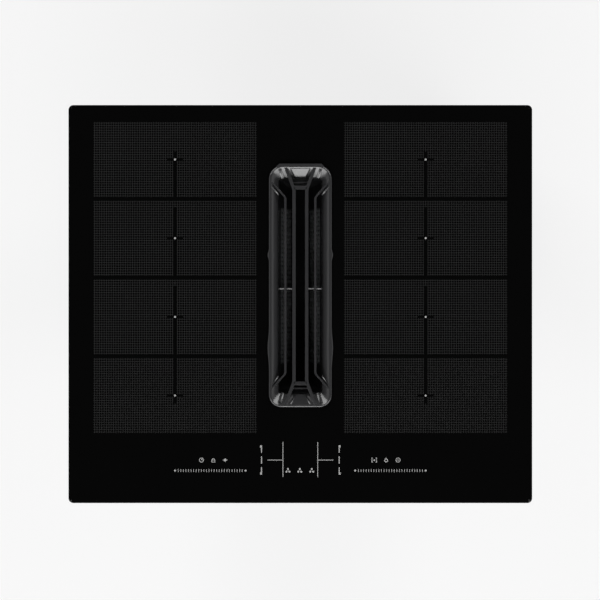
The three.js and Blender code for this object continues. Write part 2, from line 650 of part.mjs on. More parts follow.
function ventGrille() {
  const rim = loft([
    rimContour(0, GLASS_TOP),
    rimContour(0, GLASS_TOP + RIM_RISE * 0.5),
    rimContour(RIM_RISE * 0.15, GLASS_TOP + RIM_RISE * 0.85),
    rimContour(RIM_RISE * 0.4, RIM_TOP),
  ]);
  const skirtLimit = box(
    -HOLE_X + GRILLE_GAP,
    HOLE_X - GRILLE_GAP,
    GRILLE_CENTRE_Y - HOLE_Y + GRILLE_GAP,
    GRILLE_CENTRE_Y + HOLE_Y - GRILLE_GAP,
    GRILLE_BOTTOM,
    GLASS_TOP,
  );
  const skirt = funnel(FUNNEL_WALL, GRILLE_BOTTOM, RIM_TOP).intersect(skirtLimit);
  const envelope = rim.add(skirt);
  const cavity = funnel(0, GRILLE_BOTTOM - 1, RIM_TOP + 1);
  const shell = envelope.subtract(cavity);

  const barTop = RIM_TOP - BAR_DROP;
  const barUnder = barTop - BAR_DEPTH;
  const at = (x, y) => [x, y + GRILLE_CENTRE_Y];
  const parts = [];
  const rimEndY = GRILLE_LENGTH / 2 - RIM_BAND / 2;
  const rimSideX = GRILLE_WIDTH / 2 - RIM_BAND / 2;
  [1, -1].forEach((side) => {
    const mainX = (side * MAIN_BAR_SPACING) / 2;
    const spreadX = (side * MAIN_BAR_SPREAD) / 2;
    const bendY = MAIN_BAR_STRAIGHT / 2;
    parts.push(bentBar([
      at(spreadX, rimEndY),
      at(mainX, bendY),
      at(mainX, -bendY),
      at(spreadX, -rimEndY),
    ], MAIN_BAR_WIDTH, barUnder, barTop));
    const sideX = (side * SIDE_BAR_SPACING) / 2;
    const sideBend = SIDE_BAR_STRAIGHT / 2;
    const reachY = SIDE_BAR_REACH / 2;
    parts.push(bentBar([
      at(side * rimSideX, reachY),
      at(sideX, sideBend),
      at(sideX, -sideBend),
      at(side * rimSideX, -reachY),
    ], SIDE_BAR_WIDTH, barUnder, barTop));
    [1, -1].forEach((end) => {
      const run = new THREE.Vector2(rimSideX - SIDE_BAR_SPACING / 2, reachY - sideBend);
      const drop = STEP_RIB_OFFSET / Math.cos(run.angle());
      const height = (x) => sideBend + ((x - SIDE_BAR_SPACING / 2) * run.y) / run.x - drop;
      parts.push(bentBar([
        at(side * rimSideX, end * height(rimSideX)),
        at(side * THROAT_X, end * height(THROAT_X)),
      ], STEP_RIB_WIDTH, barUnder, barTop - STEP_RIB_DROP));
    });
  });
  [1, -1].forEach((end) => {
    const crossY = end * (MAIN_BAR_STRAIGHT / 2 + CROSS_BAR_OFFSET);
    const crossX = MAIN_BAR_SPACING / 2;
    parts.push(box(
      -crossX,
      crossX,
      GRILLE_CENTRE_Y + crossY - CROSS_BAR_WIDTH / 2,
      GRILLE_CENTRE_Y + crossY + CROSS_BAR_WIDTH / 2,
      barUnder,
      barTop,
    ));
    const tieY = end * (MAIN_BAR_STRAIGHT / 2 + TIE_OFFSET);
    const tieX = MAIN_BAR_SPACING / 2 + TIE_WIDTH;
    parts.push(box(
      -tieX,
      tieX,
      GRILLE_CENTRE_Y + tieY - TIE_WIDTH / 2,
      GRILLE_CENTRE_Y + tieY + TIE_WIDTH / 2,
      barUnder,
      barUnder + TIE_WIDTH,
    ));
  });
  const bars = joined(parts).intersect(envelope);

  // Raised pads on the two end walls, between the splayed bars.
  const padFoot = MAIN_BAR_SPACING / 2;
  const padHead = MAIN_BAR_SPREAD / 2 - MAIN_BAR_WIDTH / 2;
  const pads = [1, -1].map((end) => prism(polygon([
    at(-padFoot, end * THROAT_Y * 0.9),
    at(padFoot, end * THROAT_Y * 0.9),
    at(padFoot, end * THROAT_Y),
    at(padHead, end * rimEndY),
    at(-padHead, end * rimEndY),
    at(-padFoot, end * THROAT_Y),
  ]), GRILLE_BOTTOM, RIM_TOP - BAR_DROP));
  const padBody = joined(pads).intersect(envelope).subtract(
    funnel(-PAD_HEIGHT, GRILLE_BOTTOM - 1, RIM_TOP + 1),
  );
  return joined([shell, bars, padBody]);
}

node('vent_grille', ventGrille(), blackPlastic);

// ---------------------------------------------------------------- grease filter

const BASKET_BOTTOM = LEDGE_TOP - FILTER_DEPTH;
const BASKET_FLOOR = BASKET_BOTTOM + FILTER_WALL;
const BASKET_FLOOR_X = FILTER_FLOOR_WIDTH / 2;
const BASKET_SLOPE = Math.atan2(THROAT_X - BASKET_FLOOR_X, LEDGE_TOP - BASKET_FLOOR);
const WALL_RUN = FILTER_WALL / Math.cos(BASKET_SLOPE);
const WALL_LENGTH = Math.hypot(THROAT_X - BASKET_FLOOR_X, LEDGE_TOP - BASKET_FLOOR);
const WINDOW_HEIGHT = WALL_LENGTH - 2 * MESH_MARGIN;

// A box that lies on the basket's sloping side wall, off its inner face by lift.
function wallBox(side, lift, thickness, y0, y1, low, high) {
  const geometry = new THREE.BoxGeometry(thickness, y1 - y0, high - low);
  geometry.translate(lift + thickness / 2, 0, (low + high) / 2);
  geometry.rotateY(BASKET_SLOPE);
  geometry.translate(
    (THROAT_X + BASKET_FLOOR_X) / 2,
    GRILLE_CENTRE_Y + (y0 + y1) / 2,
    (LEDGE_TOP + BASKET_FLOOR) / 2,
  );
  if (side < 0) geometry.rotateZ(Math.PI).translate(0, 2 * GRILLE_CENTRE_Y + y0 + y1, 0);
  return solid(geometry);
}

// The basket's V, moved out by offset; its sides keep one slope down to floorZ.
function basket(offset, floorZ, topZ) {
  const ring = (halfX, halfY, z) => contour(
    halfX + offset,
    halfY + offset,
    THROAT_CORNER + offset,
    z,
    GRILLE_CENTRE_Y,
    3,
  );
  const floorX = BASKET_FLOOR_X - (BASKET_FLOOR - floorZ) * Math.tan(BASKET_SLOPE);
  return loft([
    ring(floorX, THROAT_Y - FILTER_END_SLOPE, floorZ),
    ring(THROAT_X, THROAT_Y, LEDGE_TOP),
    ring(THROAT_X, THROAT_Y, topZ),
  ]);
}

function filterFrame() {
  const flangeShape = roundedRectangle(
    HOLE_X - FILTER_GAP,
    HOLE_Y - FILTER_GAP,
    RIM_CORNER - RIM_LAP - FILTER_GAP,
    0,
    GRILLE_CENTRE_Y,
  );
  const outer = basket(WALL_RUN, BASKET_BOTTOM, FILTER_TOP);
  const cuts = [basket(0, BASKET_FLOOR, FILTER_TOP + 1)];
  const rib = MESH_DIVIDER / 2;
  const high = WINDOW_HEIGHT / 2;
  [1, -1].forEach((side) => {
    const dividerY = MESH_DIVIDER_Y;
    const halves = [
      [-MESH_LENGTH / 2, dividerY - rib],
      [dividerY + rib, MESH_LENGTH / 2],
    ];
    halves.forEach(([y0, y1]) => {
      cuts.push(wallBox(side, -FILTER_WALL, 3 * FILTER_WALL, y0, y1, -high, high));
    });
  });
  return without(prism(flangeShape, LEDGE_TOP, FILTER_TOP).add(outer), cuts);
}

function filterMesh(side) {
  const lift = FILTER_WALL + RUNNING_GAP;
  const halfY = MESH_LENGTH / 2 + MESH_LAP;
  const halfHeight = WINDOW_HEIGHT / 2 + MESH_LAP;
  const sheet = wallBox(side, lift, MESH_THICKNESS, -halfY, halfY, -halfHeight, halfHeight);
  const slots = [];
  const pitch = MESH_LENGTH / MESH_SLOTS;
  for (let slot = 0; slot < MESH_SLOTS; slot += 1) {
    const y = -MESH_LENGTH / 2 + slot * pitch;
    slots.push(wallBox(
      side,
      lift - MESH_THICKNESS,
      3 * MESH_THICKNESS,
      y + MESH_WEB / 2,
      y + pitch - MESH_WEB / 2,
      -WINDOW_HEIGHT / 2,
      WINDOW_HEIGHT / 2,
    ));
  }
  return without(sheet, slots);
}

node('filter_frame', filterFrame(), blackPlastic);
node('filter_mesh_left', filterMesh(-1), aluminium);
node('filter_mesh_right', filterMesh(1), aluminium);

// ---------------------------------------------------------------- inlet shaft

const SHAFT_CORNER = RIM_CORNER - RIM_LAP + SHAFT_SETBACK;

function shaftOutline(offset) {
  return roundedRectangle(
    SHAFT_X + offset,
    SHAFT_Y + offset,
    SHAFT_CORNER + offset,
    0,
    GRILLE_CENTRE_Y,
  );
}

function inletShaft() {
  const tube = prism(shaftOutline(SHAFT_WALL), SHAFT_BOTTOM, SHAFT_TOP);
  const flange = prism(
    shaftOutline(SHAFT_WALL + SHAFT_FLANGE),
    SHAFT_TOP - SHAFT_FLANGE_THICKNESS,
    SHAFT_TOP,
  );
  return without(tube.add(flange), [
    prism(shaftOutline(0), LEDGE_TOP, SHAFT_TOP + 1),
    prism(shaftOutline(-LEDGE_WIDTH), LEDGE_TOP - 2 * LEDGE_THICKNESS, LEDGE_TOP + 1),
    prism(shaftOutline(0), SHAFT_BOTTOM - 1, LEDGE_TOP - LEDGE_THICKNESS),
  ]);
}

node('inlet_shaft', inletShaft(), greyPlastic);

// ---------------------------------------------------------------- tray

const CLAMP_PLACES = [
  { name: 'left_front', side: -1, y: -TRAY_Y + CLAMP_FRONT_INSET },
  { name: 'left_back', side: -1, y: TRAY_Y - CLAMP_BACK_INSET },
  { name: 'right_front', side: 1, y: -TRAY_Y + CLAMP_FRONT_INSET },
  { name: 'right_back', side: 1, y: TRAY_Y - CLAMP_BACK_INSET },
];
const CLAMP_SCREW_X = TRAY_X - CLAMP_BASE / 2;
const TERMINAL_X = -TRAY_X + TERMINAL_SIDE + TERMINAL_WIDTH / 2;
const TERMINAL_Y = TRAY_Y - TERMINAL_BACK - TERMINAL_DEPTH / 2;

function boardPosts(side) {
  const inset = POST_RADIUS + 1;
  const xs = [BOARD_INNER_X + inset, BOARD_OUTER_X - inset];
  const ys = [BOARD_FRONT_Y + inset, BOARD_BACK_Y - inset];
  return xs.flatMap((x) => ys.map((y) => (
    cylinder(side * x, y, POST_RADIUS, TRAY_FLOOR - TRAY_SHEET / 2, BOARD_UNDER, SMALL_SIDES)
  )));
}

function intakeSlots(side) {
  const radius = COOLER_BORE / 2 - INTAKE_MARGIN;
  const slots = [];
  for (let i = 0; i < INTAKE_SLOTS; i += 1) {
    const y = (i - (INTAKE_SLOTS - 1) / 2) * ((2 * radius) / INTAKE_SLOTS);
    const half = Math.sqrt(radius ** 2 - y ** 2);
    slots.push(box(
      side * COOLER_X - half,
      side * COOLER_X + half,
      COOLER_Y + y - INTAKE_WIDTH / 2,
      COOLER_Y + y + INTAKE_WIDTH / 2,
      TRAY_BOTTOM - 1,
      TRAY_FLOOR + 1,
    ));
  }
  return slots;
}

function hobTray() {
  const outline = (inset) => roundedRectangle(
    TRAY_X - inset,
    TRAY_Y - inset,
    TRAY_CORNER - Math.min(inset, TRAY_CORNER - 1),
  );
  const skin = without(prism(outline(0), TRAY_BOTTOM, GLASS_UNDER), [
    prism(outline(TRAY_SHEET), TRAY_FLOOR, GLASS_UNDER - TRAY_SHEET),
    prism(outline(TRAY_LIP), TRAY_FLOOR, GLASS_UNDER + 1),
  ]);
  const opening = SHAFT_WALL + COLLAR_GAP;
  const collar = prism(
    shaftOutline(opening + TRAY_SHEET),
    TRAY_BOTTOM,
    TRAY_FLOOR + COLLAR_HEIGHT,
  );
  const cuts = [prism(shaftOutline(opening), TRAY_BOTTOM - 1, TRAY_FLOOR + COLLAR_HEIGHT + 1)];
  [1, -1].forEach((side) => {
    const wall = side * TRAY_X;
    for (let i = 0; i < LOUVRE_COUNT; i += 1) {
      const y = LOUVRE_CENTRE_Y + (i - (LOUVRE_COUNT - 1) / 2) * LOUVRE_PITCH;
      const middle = (TRAY_FLOOR + GLASS_UNDER) / 2;
      cuts.push(box(
        wall - 2 * TRAY_SHEET,
        wall + 2 * TRAY_SHEET,
        y - LOUVRE_WIDTH / 2,
        y + LOUVRE_WIDTH / 2,
        middle - LOUVRE_HEIGHT / 2,
        middle + LOUVRE_HEIGHT / 2,
      ));
    }
    cuts.push(...intakeSlots(side));
  });
  CLAMP_PLACES.forEach(({ side, y }) => {
    const x = side * CLAMP_SCREW_X;
    cuts.push(cylinder(x, y, SCREW_RADIUS + SCREW_GAP, TRAY_BOTTOM - 1, TRAY_FLOOR + 1, SMALL_SIDES));
  });
  const wireY = TERMINAL_Y - TERMINAL_DEPTH / 4;
  cuts.push(cylinder(TERMINAL_X, wireY, CABLE_RADIUS, TRAY_BOTTOM - 1, TRAY_FLOOR + 1, SMALL_SIDES));
  const posts = [...boardPosts(1), ...boardPosts(-1)];
  return joined([without(skin.add(collar), cuts), ...posts]);
}

node('hob_tray', hobTray(), steelSheet);

// ---------------------------------------------------------------- coils

const COIL_X = ZONE_WIDTH / 2 - COIL_MARGIN;
const COIL_Y = (ZONE_PITCH - ZONE_GAP) / 2 - COIL_MARGIN;

function zoneRowY(row) {
  return ZONE_BACK_Y - (ZONE_PITCH - ZONE_GAP) / 2 - row * ZONE_PITCH;
}

// A flat racetrack winding with a groove round its upper face.
function coil(x, y) {
  const top = MICA_UNDER;
  const grooves = [];
  for (let i = 1; i <= COIL_GROOVES; i += 1) {
    const centre = (COIL_BAND * i) / (COIL_GROOVES + 1);
    grooves.push([centre - COIL_GROOVE, top]);
    grooves.push([centre, top - COIL_GROOVE]);
    grooves.push([centre + COIL_GROOVE, top]);
  }
  const profile = [
    [0, COIL_UNDER],
    [0, top],
    ...grooves,
    [COIL_BAND, top],
    [COIL_BAND, COIL_UNDER],
  ];
  const rings = profile.map(([inset, z]) => contour(
    COIL_X - inset,
    COIL_Y - inset,
    COIL_Y - inset,
    z,
    0,
    COIL_CORNER_STEPS,
  ));
  return loft(rings, true).translate([x, y, 0]);
}

// A bench of sheet aluminium with ferrite bars below and a sensor post in each coil.
function coilCarrier(side) {
  const centre = side * ZONE_CENTRE_X;
  const half = ZONE_WIDTH / 2;
  const plate = box(
    centre - half,
    centre + half,
    ZONE_FRONT_Y,
    ZONE_BACK_Y,
    CARRIER_UNDER,
    COIL_UNDER,
  );
  const parts = [plate];
  const windows = [];
  [centre - half, centre + half - CARRIER_LEG].forEach((x) => {
    parts.push(box(x, x + CARRIER_LEG, BOARD_FRONT_Y, ZONE_BACK_Y, TRAY_FLOOR, COIL_UNDER));
    for (let row = 0; row < ZONE_ROWS; row += 1) {
      const y = zoneRowY(row);
      windows.push(box(
        x - 1,
        x + CARRIER_LEG + 1,
        Math.max(y - COIL_Y + COIL_MARGIN, BOARD_FRONT_Y + LEG_SILL),
        y + COIL_Y - COIL_MARGIN,
        TRAY_FLOOR + LEG_SILL,
        CARRIER_UNDER - LEG_SILL,
      ));
    }
  });
  for (let row = 0; row < ZONE_ROWS; row += 1) {
    const y = zoneRowY(row);
    parts.push(cylinder(centre, y, SENSOR_RADIUS, COIL_UNDER - 1, MICA_UNDER, SMALL_SIDES));
    [-1, 0, 1].forEach((place) => {
      const x = centre + (place * COIL_X) / 2;
      parts.push(box(
        x - FERRITE_WIDTH / 2,
        x + FERRITE_WIDTH / 2,
        y - COIL_Y + FERRITE_WIDTH / 2,
        y + COIL_Y - FERRITE_WIDTH / 2,
        CARRIER_UNDER - FERRITE_HEIGHT,
        COIL_UNDER - 1,
      ));
    });
  }
  return without(joined(parts), windows);
}

const SIDES = [['left', -1], ['right', 1]];

SIDES.forEach(([name, side]) => {
  const centre = side * ZONE_CENTRE_X;
  for (let row = 0; row < ZONE_ROWS; row += 1) {
    node(`coil_${name}_${row + 1}`, coil(centre, zoneRowY(row)), copper);
  }
  node(`coil_carrier_${name}`, coilCarrier(side), aluminium);
  node(`insulation_${name}`, box(
    centre - ZONE_WIDTH / 2,
    centre + ZONE_WIDTH / 2,
    ZONE_FRONT_Y,
    ZONE_BACK_Y,
    MICA_UNDER,
    GLASS_UNDER,
  ), mica);
});

// ---------------------------------------------------------------- electronics

const SINK_FRONT_Y = BOARD_FRONT_Y + BOARD_MARGIN;

function powerBoard(side) {
  const xs = [side * BOARD_INNER_X, side * BOARD_OUTER_X].sort((a, b) => a - b);
  const parts = [box(xs[0], xs[1], BOARD_FRONT_Y, BOARD_BACK_Y, BOARD_UNDER, BOARD_TOP)];
  const foot = BOARD_TOP - BOARD_THICKNESS / 2;
  const inner = BOARD_INNER_X + CAPACITOR_RADIUS + BOARD_MARGIN;
  for (let i = 0; i < CAPACITOR_COUNT; i += 1) {
    const y = SINK_FRONT_Y + CAPACITOR_RADIUS + i * CAPACITOR_PITCH;
    const top = BOARD_TOP + CAPACITOR_HEIGHT;
    parts.push(cylinder(side * inner, y, CAPACITOR_RADIUS, foot, top, SMALL_SIDES));
  }
  const chokeY = SINK_FRONT_Y + HEATSINK_LENGTH + CHOKE_RADIUS + BOARD_MARGIN;
  const chokeTop = BOARD_TOP + CHOKE_HEIGHT;
  [0, 1].forEach((i) => {
    const y = chokeY + i * (2 * CHOKE_RADIUS + BOARD_MARGIN);
    parts.push(cylinder(side * COOLER_X, y, CHOKE_RADIUS, foot, chokeTop, SMALL_SIDES));
  });
  [0, 1, 2].forEach((i) => {
    const x = side * (BOARD_INNER_X + BOARD_MARGIN + RELAY_SIZE);
    const y = BOARD_BACK_Y - BOARD_MARGIN - RELAY_SIZE - i * RELAY_PITCH;
    const half = RELAY_SIZE / 2;
    parts.push(box(x - half, x + half, y - half, y + half, foot, BOARD_TOP + RELAY_HEIGHT));
  });
  return joined(parts);
}

function heatsink(side) {
  const x0 = side * COOLER_X - HEATSINK_WIDTH / 2;
  const y1 = SINK_FRONT_Y + HEATSINK_LENGTH;
  const parts = [
    box(x0, x0 + HEATSINK_WIDTH, SINK_FRONT_Y, y1, BOARD_TOP, BOARD_TOP + HEATSINK_BASE),
  ];
  const pitch = (HEATSINK_WIDTH - FIN_THICKNESS) / (FIN_COUNT - 1);
  for (let fin = 0; fin < FIN_COUNT; fin += 1) {
    const x = x0 + fin * pitch;
    parts.push(box(x, x + FIN_THICKNESS, SINK_FRONT_Y, y1, BOARD_TOP, BOARD_TOP + HEATSINK_HEIGHT));
  }
  return joined(parts);
}

const COOLER_TOP = TRAY_FLOOR + COOLER_HEIGHT;
const SPIDER_UNDER = COOLER_TOP - SPIDER_THICKNESS;
const ROTOR_TOP = SPIDER_UNDER - 2 * RUNNING_GAP;
const ROTOR_UNDER = TRAY_FLOOR + 2;

function coolerFrame(side) {
  const x = side * COOLER_X;
  const half = COOLER_SIZE / 2;
  const shape = roundedRectangle(half, half, COOLER_SIZE / 16, x, COOLER_Y);
  const ring = prism(shape, TRAY_FLOOR, COOLER_TOP).subtract(
    cylinder(x, COOLER_Y, COOLER_BORE / 2, TRAY_FLOOR - 1, COOLER_TOP + 1),
  );
  const reach = COOLER_BORE / 2 + 1;
  const arm = SPIDER_THICKNESS;
  return joined([
    ring,
    cylinder(x, COOLER_Y, COOLER_HUB / 2, SPIDER_UNDER, COOLER_TOP, SMALL_SIDES),
    box(x - reach, x + reach, COOLER_Y - arm, COOLER_Y + arm, SPIDER_UNDER, COOLER_TOP),
    box(x - arm, x + arm, COOLER_Y - reach, COOLER_Y + reach, SPIDER_UNDER, COOLER_TOP),
    cylinder(x, COOLER_Y, SPINDLE_RADIUS, ROTOR_UNDER + 2, COOLER_TOP - 1, SMALL_SIDES),
  ]);
}

function coolerRotor(side) {
  const x = side * COOLER_X;
  const parts = [cylinder(x, COOLER_Y, COOLER_HUB / 2, ROTOR_UNDER, ROTOR_TOP, SMALL_SIDES)];
  const tip = COOLER_BORE / 2 - COOLER_TIP_GAP;
  const root = COOLER_HUB / 2 - 2;
  const chord = (ROTOR_TOP - ROTOR_UNDER) / Math.cos(COOLER_PITCH) - 2 * BLADE_THICKNESS;
  for (let i = 0; i < COOLER_BLADES; i += 1) {
    const blade = new THREE.BoxGeometry(tip - root, BLADE_THICKNESS, chord);
    blade.rotateX(COOLER_PITCH);
    blade.translate((tip + root) / 2, 0, (ROTOR_TOP + ROTOR_UNDER) / 2);
    blade.rotateZ((2 * Math.PI * i) / COOLER_BLADES);
    parts.push(solid(blade.translate(x, COOLER_Y, 0)));
  }
  const bore = cylinder(
    x,
    COOLER_Y,
    SPINDLE_RADIUS + RUNNING_GAP,
    ROTOR_UNDER + 2 - RUNNING_GAP,
    ROTOR_TOP + 1,
    SMALL_SIDES,
  );
  return joined(parts).subtract(bore);
}

function controlBoard() {
  const halfX = CONTROL_BOARD_WIDTH / 2;
  const halfY = CONTROL_BOARD_DEPTH / 2;
  const under = CONTROL_BOARD_TOP - BOARD_THICKNESS;
  const parts = [
    box(-halfX, halfX, CONTROL_Y - halfY, CONTROL_Y + halfY, under, CONTROL_BOARD_TOP),
  ];
  for (let i = 0; i < TOUCH_PADS; i += 1) {
    const x = (i - (TOUCH_PADS - 1) / 2) * (CONTROL_BOARD_WIDTH / TOUCH_PADS);
    parts.push(cylinder(x, CONTROL_Y, TOUCH_RADIUS, under + 1, GLASS_UNDER, SMALL_SIDES));
  }
  return joined(parts);
}

function controlCarrier() {
  const halfX = CONTROL_BOARD_WIDTH / 2 + CARRIER_LEG;
  const halfY = CONTROL_BOARD_DEPTH / 2 + CARRIER_LEG;
  const top = CONTROL_BOARD_TOP - BOARD_THICKNESS;
  const under = top - CONTROL_CARRIER_THICKNESS;
  const parts = [box(-halfX, halfX, CONTROL_Y - halfY, CONTROL_Y + halfY, under, top)];
  [-1, 1].forEach((sx) => {
    [-1, 0, 1].forEach((place) => {
      const x = sx * (halfX - POST_RADIUS) * (place === 0 ? CARRIER_POST_PLACE : 1);
      const y = CONTROL_Y + (place === 0 ? 0 : place * (halfY - POST_RADIUS));
      parts.push(cylinder(x, y, POST_RADIUS, TRAY_FLOOR, top - 1, SMALL_SIDES));
    });
  });
  return joined(parts);
}

SIDES.forEach(([name, side]) => {
  node(`power_board_${name}`, powerBoard(side), circuitBoard);
  node(`heatsink_${name}`, heatsink(side), aluminium);
  node(`cooling_fan_frame_${name}`, coolerFrame(side), blackPlastic);
  node(`cooling_rotor_${name}`, coolerRotor(side), blackPlastic);
});
node('control_board', controlBoard(), circuitBoard);
node('control_carrier', controlCarrier(), whitePlastic);

// ---------------------------------------------------------------- extractor housing

function chamberOutline(offset) {
  const corner = SHAFT_CORNER + SHAFT_WALL + offset;
  return roundedRectangle(CHAMBER_X + offset, CHAMBER_Y + offset, corner, 0, GRILLE_CENTRE_Y);
}

// The scroll's plan: it opens from the tongue round to the duct, then closes again.
function drumOutline(offset) {
  const points = [];
  for (let angle = 0; angle < FULL_TURN; angle += SCROLL_STEP) {
    const share = angle / TONGUE_ANGLE;
    const radius = offset + (angle < TONGUE_ANGLE
      ? scrollRadius(FULL_TURN) - (scrollRadius(FULL_TURN) - scrollRadius(TONGUE_ANGLE)) * share
      : scrollRadius(angle));
    const turn = THREE.MathUtils.degToRad(angle);
    points.push([
      SCROLL_X + radius * Math.cos(turn),
      SCROLL_CENTRE_Y + radius * Math.sin(turn),
    ]);
  }
  return polygon(points);
}

// The discharge duct's plan, from the tongue to the spigot.
function ductOutline(inset, backY) {
  const turn = THREE.MathUtils.degToRad(TONGUE_ANGLE + (inset ? -TONGUE_SWING : TONGUE_SWING));
  const radius = scrollRadius(TONGUE_ANGLE);
  const tongueX = SCROLL_X + radius * Math.cos(turn);
  const tongueY = SCROLL_CENTRE_Y + radius * Math.sin(turn);
  const left = DUCT_X - DUCT_WIDTH / 2 + inset;
  const right = DUCT_X + DUCT_WIDTH / 2 - inset;
  const neckY = BOX_BACK_Y - DUCT_NECK + inset;
  const shape = new THREE.Shape();
  shape.moveTo(SCROLL_X, SCROLL_CENTRE_Y);
  shape.lineTo(right, SCROLL_CENTRE_Y);
  shape.lineTo(right, backY);
  shape.lineTo(left, backY);
  shape.lineTo(left, neckY);
  shape.quadraticCurveTo(tongueX - inset, neckY, tongueX, tongueY);
  shape.closePath();
  return shape;
}

// The throat between suction chamber and drum, above the inlet plate.
function throat(offset, z0, z1) {
  const halfY = SUCTION_WINDOW / 2 + offset;
  const x1 = SCROLL_X - EYE_RADIUS;
  return box(0, x1, SCROLL_CENTRE_Y - halfY, SCROLL_CENTRE_Y + halfY, z0, z1);
}

// The duct's outline at its outlet, in X and Z.
function outletOutline(offset) {
  return roundedRectangle(
    DUCT_WIDTH / 2 + offset,
    DUCT_HEIGHT / 2 + offset,
    DUCT_CORNER + offset,
    DUCT_X,
    DUCT_Z,
  );
}

const BOX_FLANGE_UNDER = COVER_UNDER - BOX_FLANGE;
const BOX_FLANGE_REACH = BOX_WALL + BOX_FLANGE;

// The suction chamber below the inlet shaft, with a throat that fits against the drum.
function suctionBox() {
  const footTop = BOX_BOTTOM + BOX_FLANGE;
  const shell = joined([
    prism(chamberOutline(BOX_WALL), BOX_BOTTOM, COVER_UNDER),
    prism(chamberOutline(BOX_FLANGE_REACH), BOX_FLANGE_UNDER, COVER_UNDER),
    prism(chamberOutline(BOX_WALL + TANK_FLANGE), BOX_BOTTOM, footTop),
    throat(BOX_WALL, PLATE_UNDER, COVER_UNDER),
    throat(BOX_FLANGE_REACH, BOX_FLANGE_UNDER, COVER_UNDER),
  ]);
  const drum = SCROLL_SKIN + RUNNING_GAP;
  return without(shell, [
    prism(chamberOutline(0), BOX_BOTTOM - 1, COVER_UNDER + 1),
    throat(0, PLATE_TOP, COVER_UNDER + 1),
    prism(drumOutline(drum), BOX_BOTTOM - 1, COVER_UNDER + 1),
    prism(drumOutline(drum + BOX_FLANGE), BOX_FLANGE_UNDER - RUNNING_GAP, COVER_UNDER + 1),
  ]);
}

// The fan's drum and the duct that leaves it, before they are parted at the duct's joint.
function scrollAndDuct() {
  const jointX = SCROLL_X + scrollRadius(TONGUE_ANGLE) * Math.cos(THREE.MathUtils.degToRad(TONGUE_ANGLE));
  const shell = joined([
    prism(drumOutline(SCROLL_SKIN), BOX_BOTTOM, COVER_UNDER),
    prism(drumOutline(SCROLL_SKIN + BOX_FLANGE), BOX_FLANGE_UNDER, COVER_UNDER),
    prism(ductOutline(0, BOX_BACK_Y), BOX_BOTTOM, PLATE_TOP, 5),
    box(
      jointX - BOX_FLANGE_REACH,
      SCROLL_RIGHT + BOX_FLANGE,
      DUCT_JOINT_Y - BOX_FLANGE,
      DUCT_JOINT_Y + BOX_FLANGE,
      BOX_BOTTOM,
      PLATE_TOP + BOX_FLANGE,
    ),
    prismY(outletOutline(SPIGOT_FLANGE), BOX_BACK_Y - SPIGOT_FLANGE_THICKNESS, BOX_BACK_Y),
  ]);
  return without(shell, [
    throat(0, PLATE_TOP, COVER_UNDER + 1),
    prism(drumOutline(0), SCROLL_FLOOR, PLATE_UNDER + 1),
    prism(drumOutline(PLATE_LEDGE), PLATE_UNDER, COVER_UNDER + 1),
    prism(ductOutline(BOX_WALL, BOX_BACK_Y + 1), SCROLL_FLOOR, PLATE_UNDER, 5),
    cylinder(
      SCROLL_X,
      SCROLL_CENTRE_Y,
      MOTOR_RADIUS + HUB_GAP / 2,
      BOX_BOTTOM - 1,
      SCROLL_FLOOR + 1,
    ),
  ]);
}

function airBoxCover() {
  const plate = joined([
    prism(chamberOutline(BOX_FLANGE_REACH), COVER_UNDER, COVER_TOP),
    throat(BOX_FLANGE_REACH, COVER_UNDER, COVER_TOP),
    prism(drumOutline(SCROLL_SKIN + BOX_FLANGE), COVER_UNDER, COVER_TOP),
  ]);
  const bossX = CHAMBER_X + BOX_WALL;
  const bosses = [
    [-bossX, GRILLE_CENTRE_Y - CHAMBER_Y / 2],
    [-bossX, GRILLE_CENTRE_Y + CHAMBER_Y / 2],
    [SCROLL_X, SCROLL_CENTRE_Y - IMPELLER_RADIUS],
    [SCROLL_X, SCROLL_CENTRE_Y + IMPELLER_RADIUS],
  ].map(([x, y]) => cylinder(x, y, COVER_BOSS, COVER_UNDER + 1, TRAY_BOTTOM, SMALL_SIDES));
  const opening = prism(shaftOutline(SHAFT_WALL + RUNNING_GAP), COVER_UNDER - 1, COVER_TOP + 1);
  return without(joined([plate, ...bosses]), [opening]);
}

function inletPlate() {
  const plate = prism(drumOutline(PLATE_LEDGE - RUNNING_GAP), PLATE_UNDER, PLATE_TOP);
  const lip = PLATE_UNDER - EYE_LAP;
  const centreR = EYE_RADIUS + BELL_RADIUS;
  const centreZ = PLATE_TOP - BELL_RADIUS;
  const arc = (radius, step) => {
    const angle = (Math.PI / 2) * (step / BELL_STEPS);
    return [centreR - radius * Math.sin(angle), centreZ + radius * Math.cos(angle)];
  };
  const profile = [];
  for (let step = 0; step <= BELL_STEPS; step += 1) profile.push(arc(BELL_RADIUS, step));
  profile.push([EYE_RADIUS, lip], [EYE_RADIUS + BELL_WALL, lip]);
  for (let step = BELL_STEPS; step >= 0; step -= 1) {
    profile.push(arc(BELL_RADIUS - BELL_WALL, step));
  }
  const bell = revolve(profile, SCROLL_X, SCROLL_CENTRE_Y);
  const holeRadius = EYE_RADIUS + BELL_RADIUS - 0.5;
  const hole = cylinder(SCROLL_X, SCROLL_CENTRE_Y, holeRadius, PLATE_UNDER - 1, PLATE_TOP + 1);
  return plate.subtract(hole).add(bell);
}

function ductSpigot() {
  const flangeY = BOX_BACK_Y + SPIGOT_FLANGE_THICKNESS;
  return without(joined([
    prismY(outletOutline(0), BOX_BACK_Y, SPIGOT_END_Y),
    prismY(outletOutline(SPIGOT_FLANGE), BOX_BACK_Y, flangeY),
  ]), [prismY(outletOutline(-DUCT_WALL), BOX_BACK_Y - 1, SPIGOT_END_Y + 1)]);
}

const scroll = scrollAndDuct();

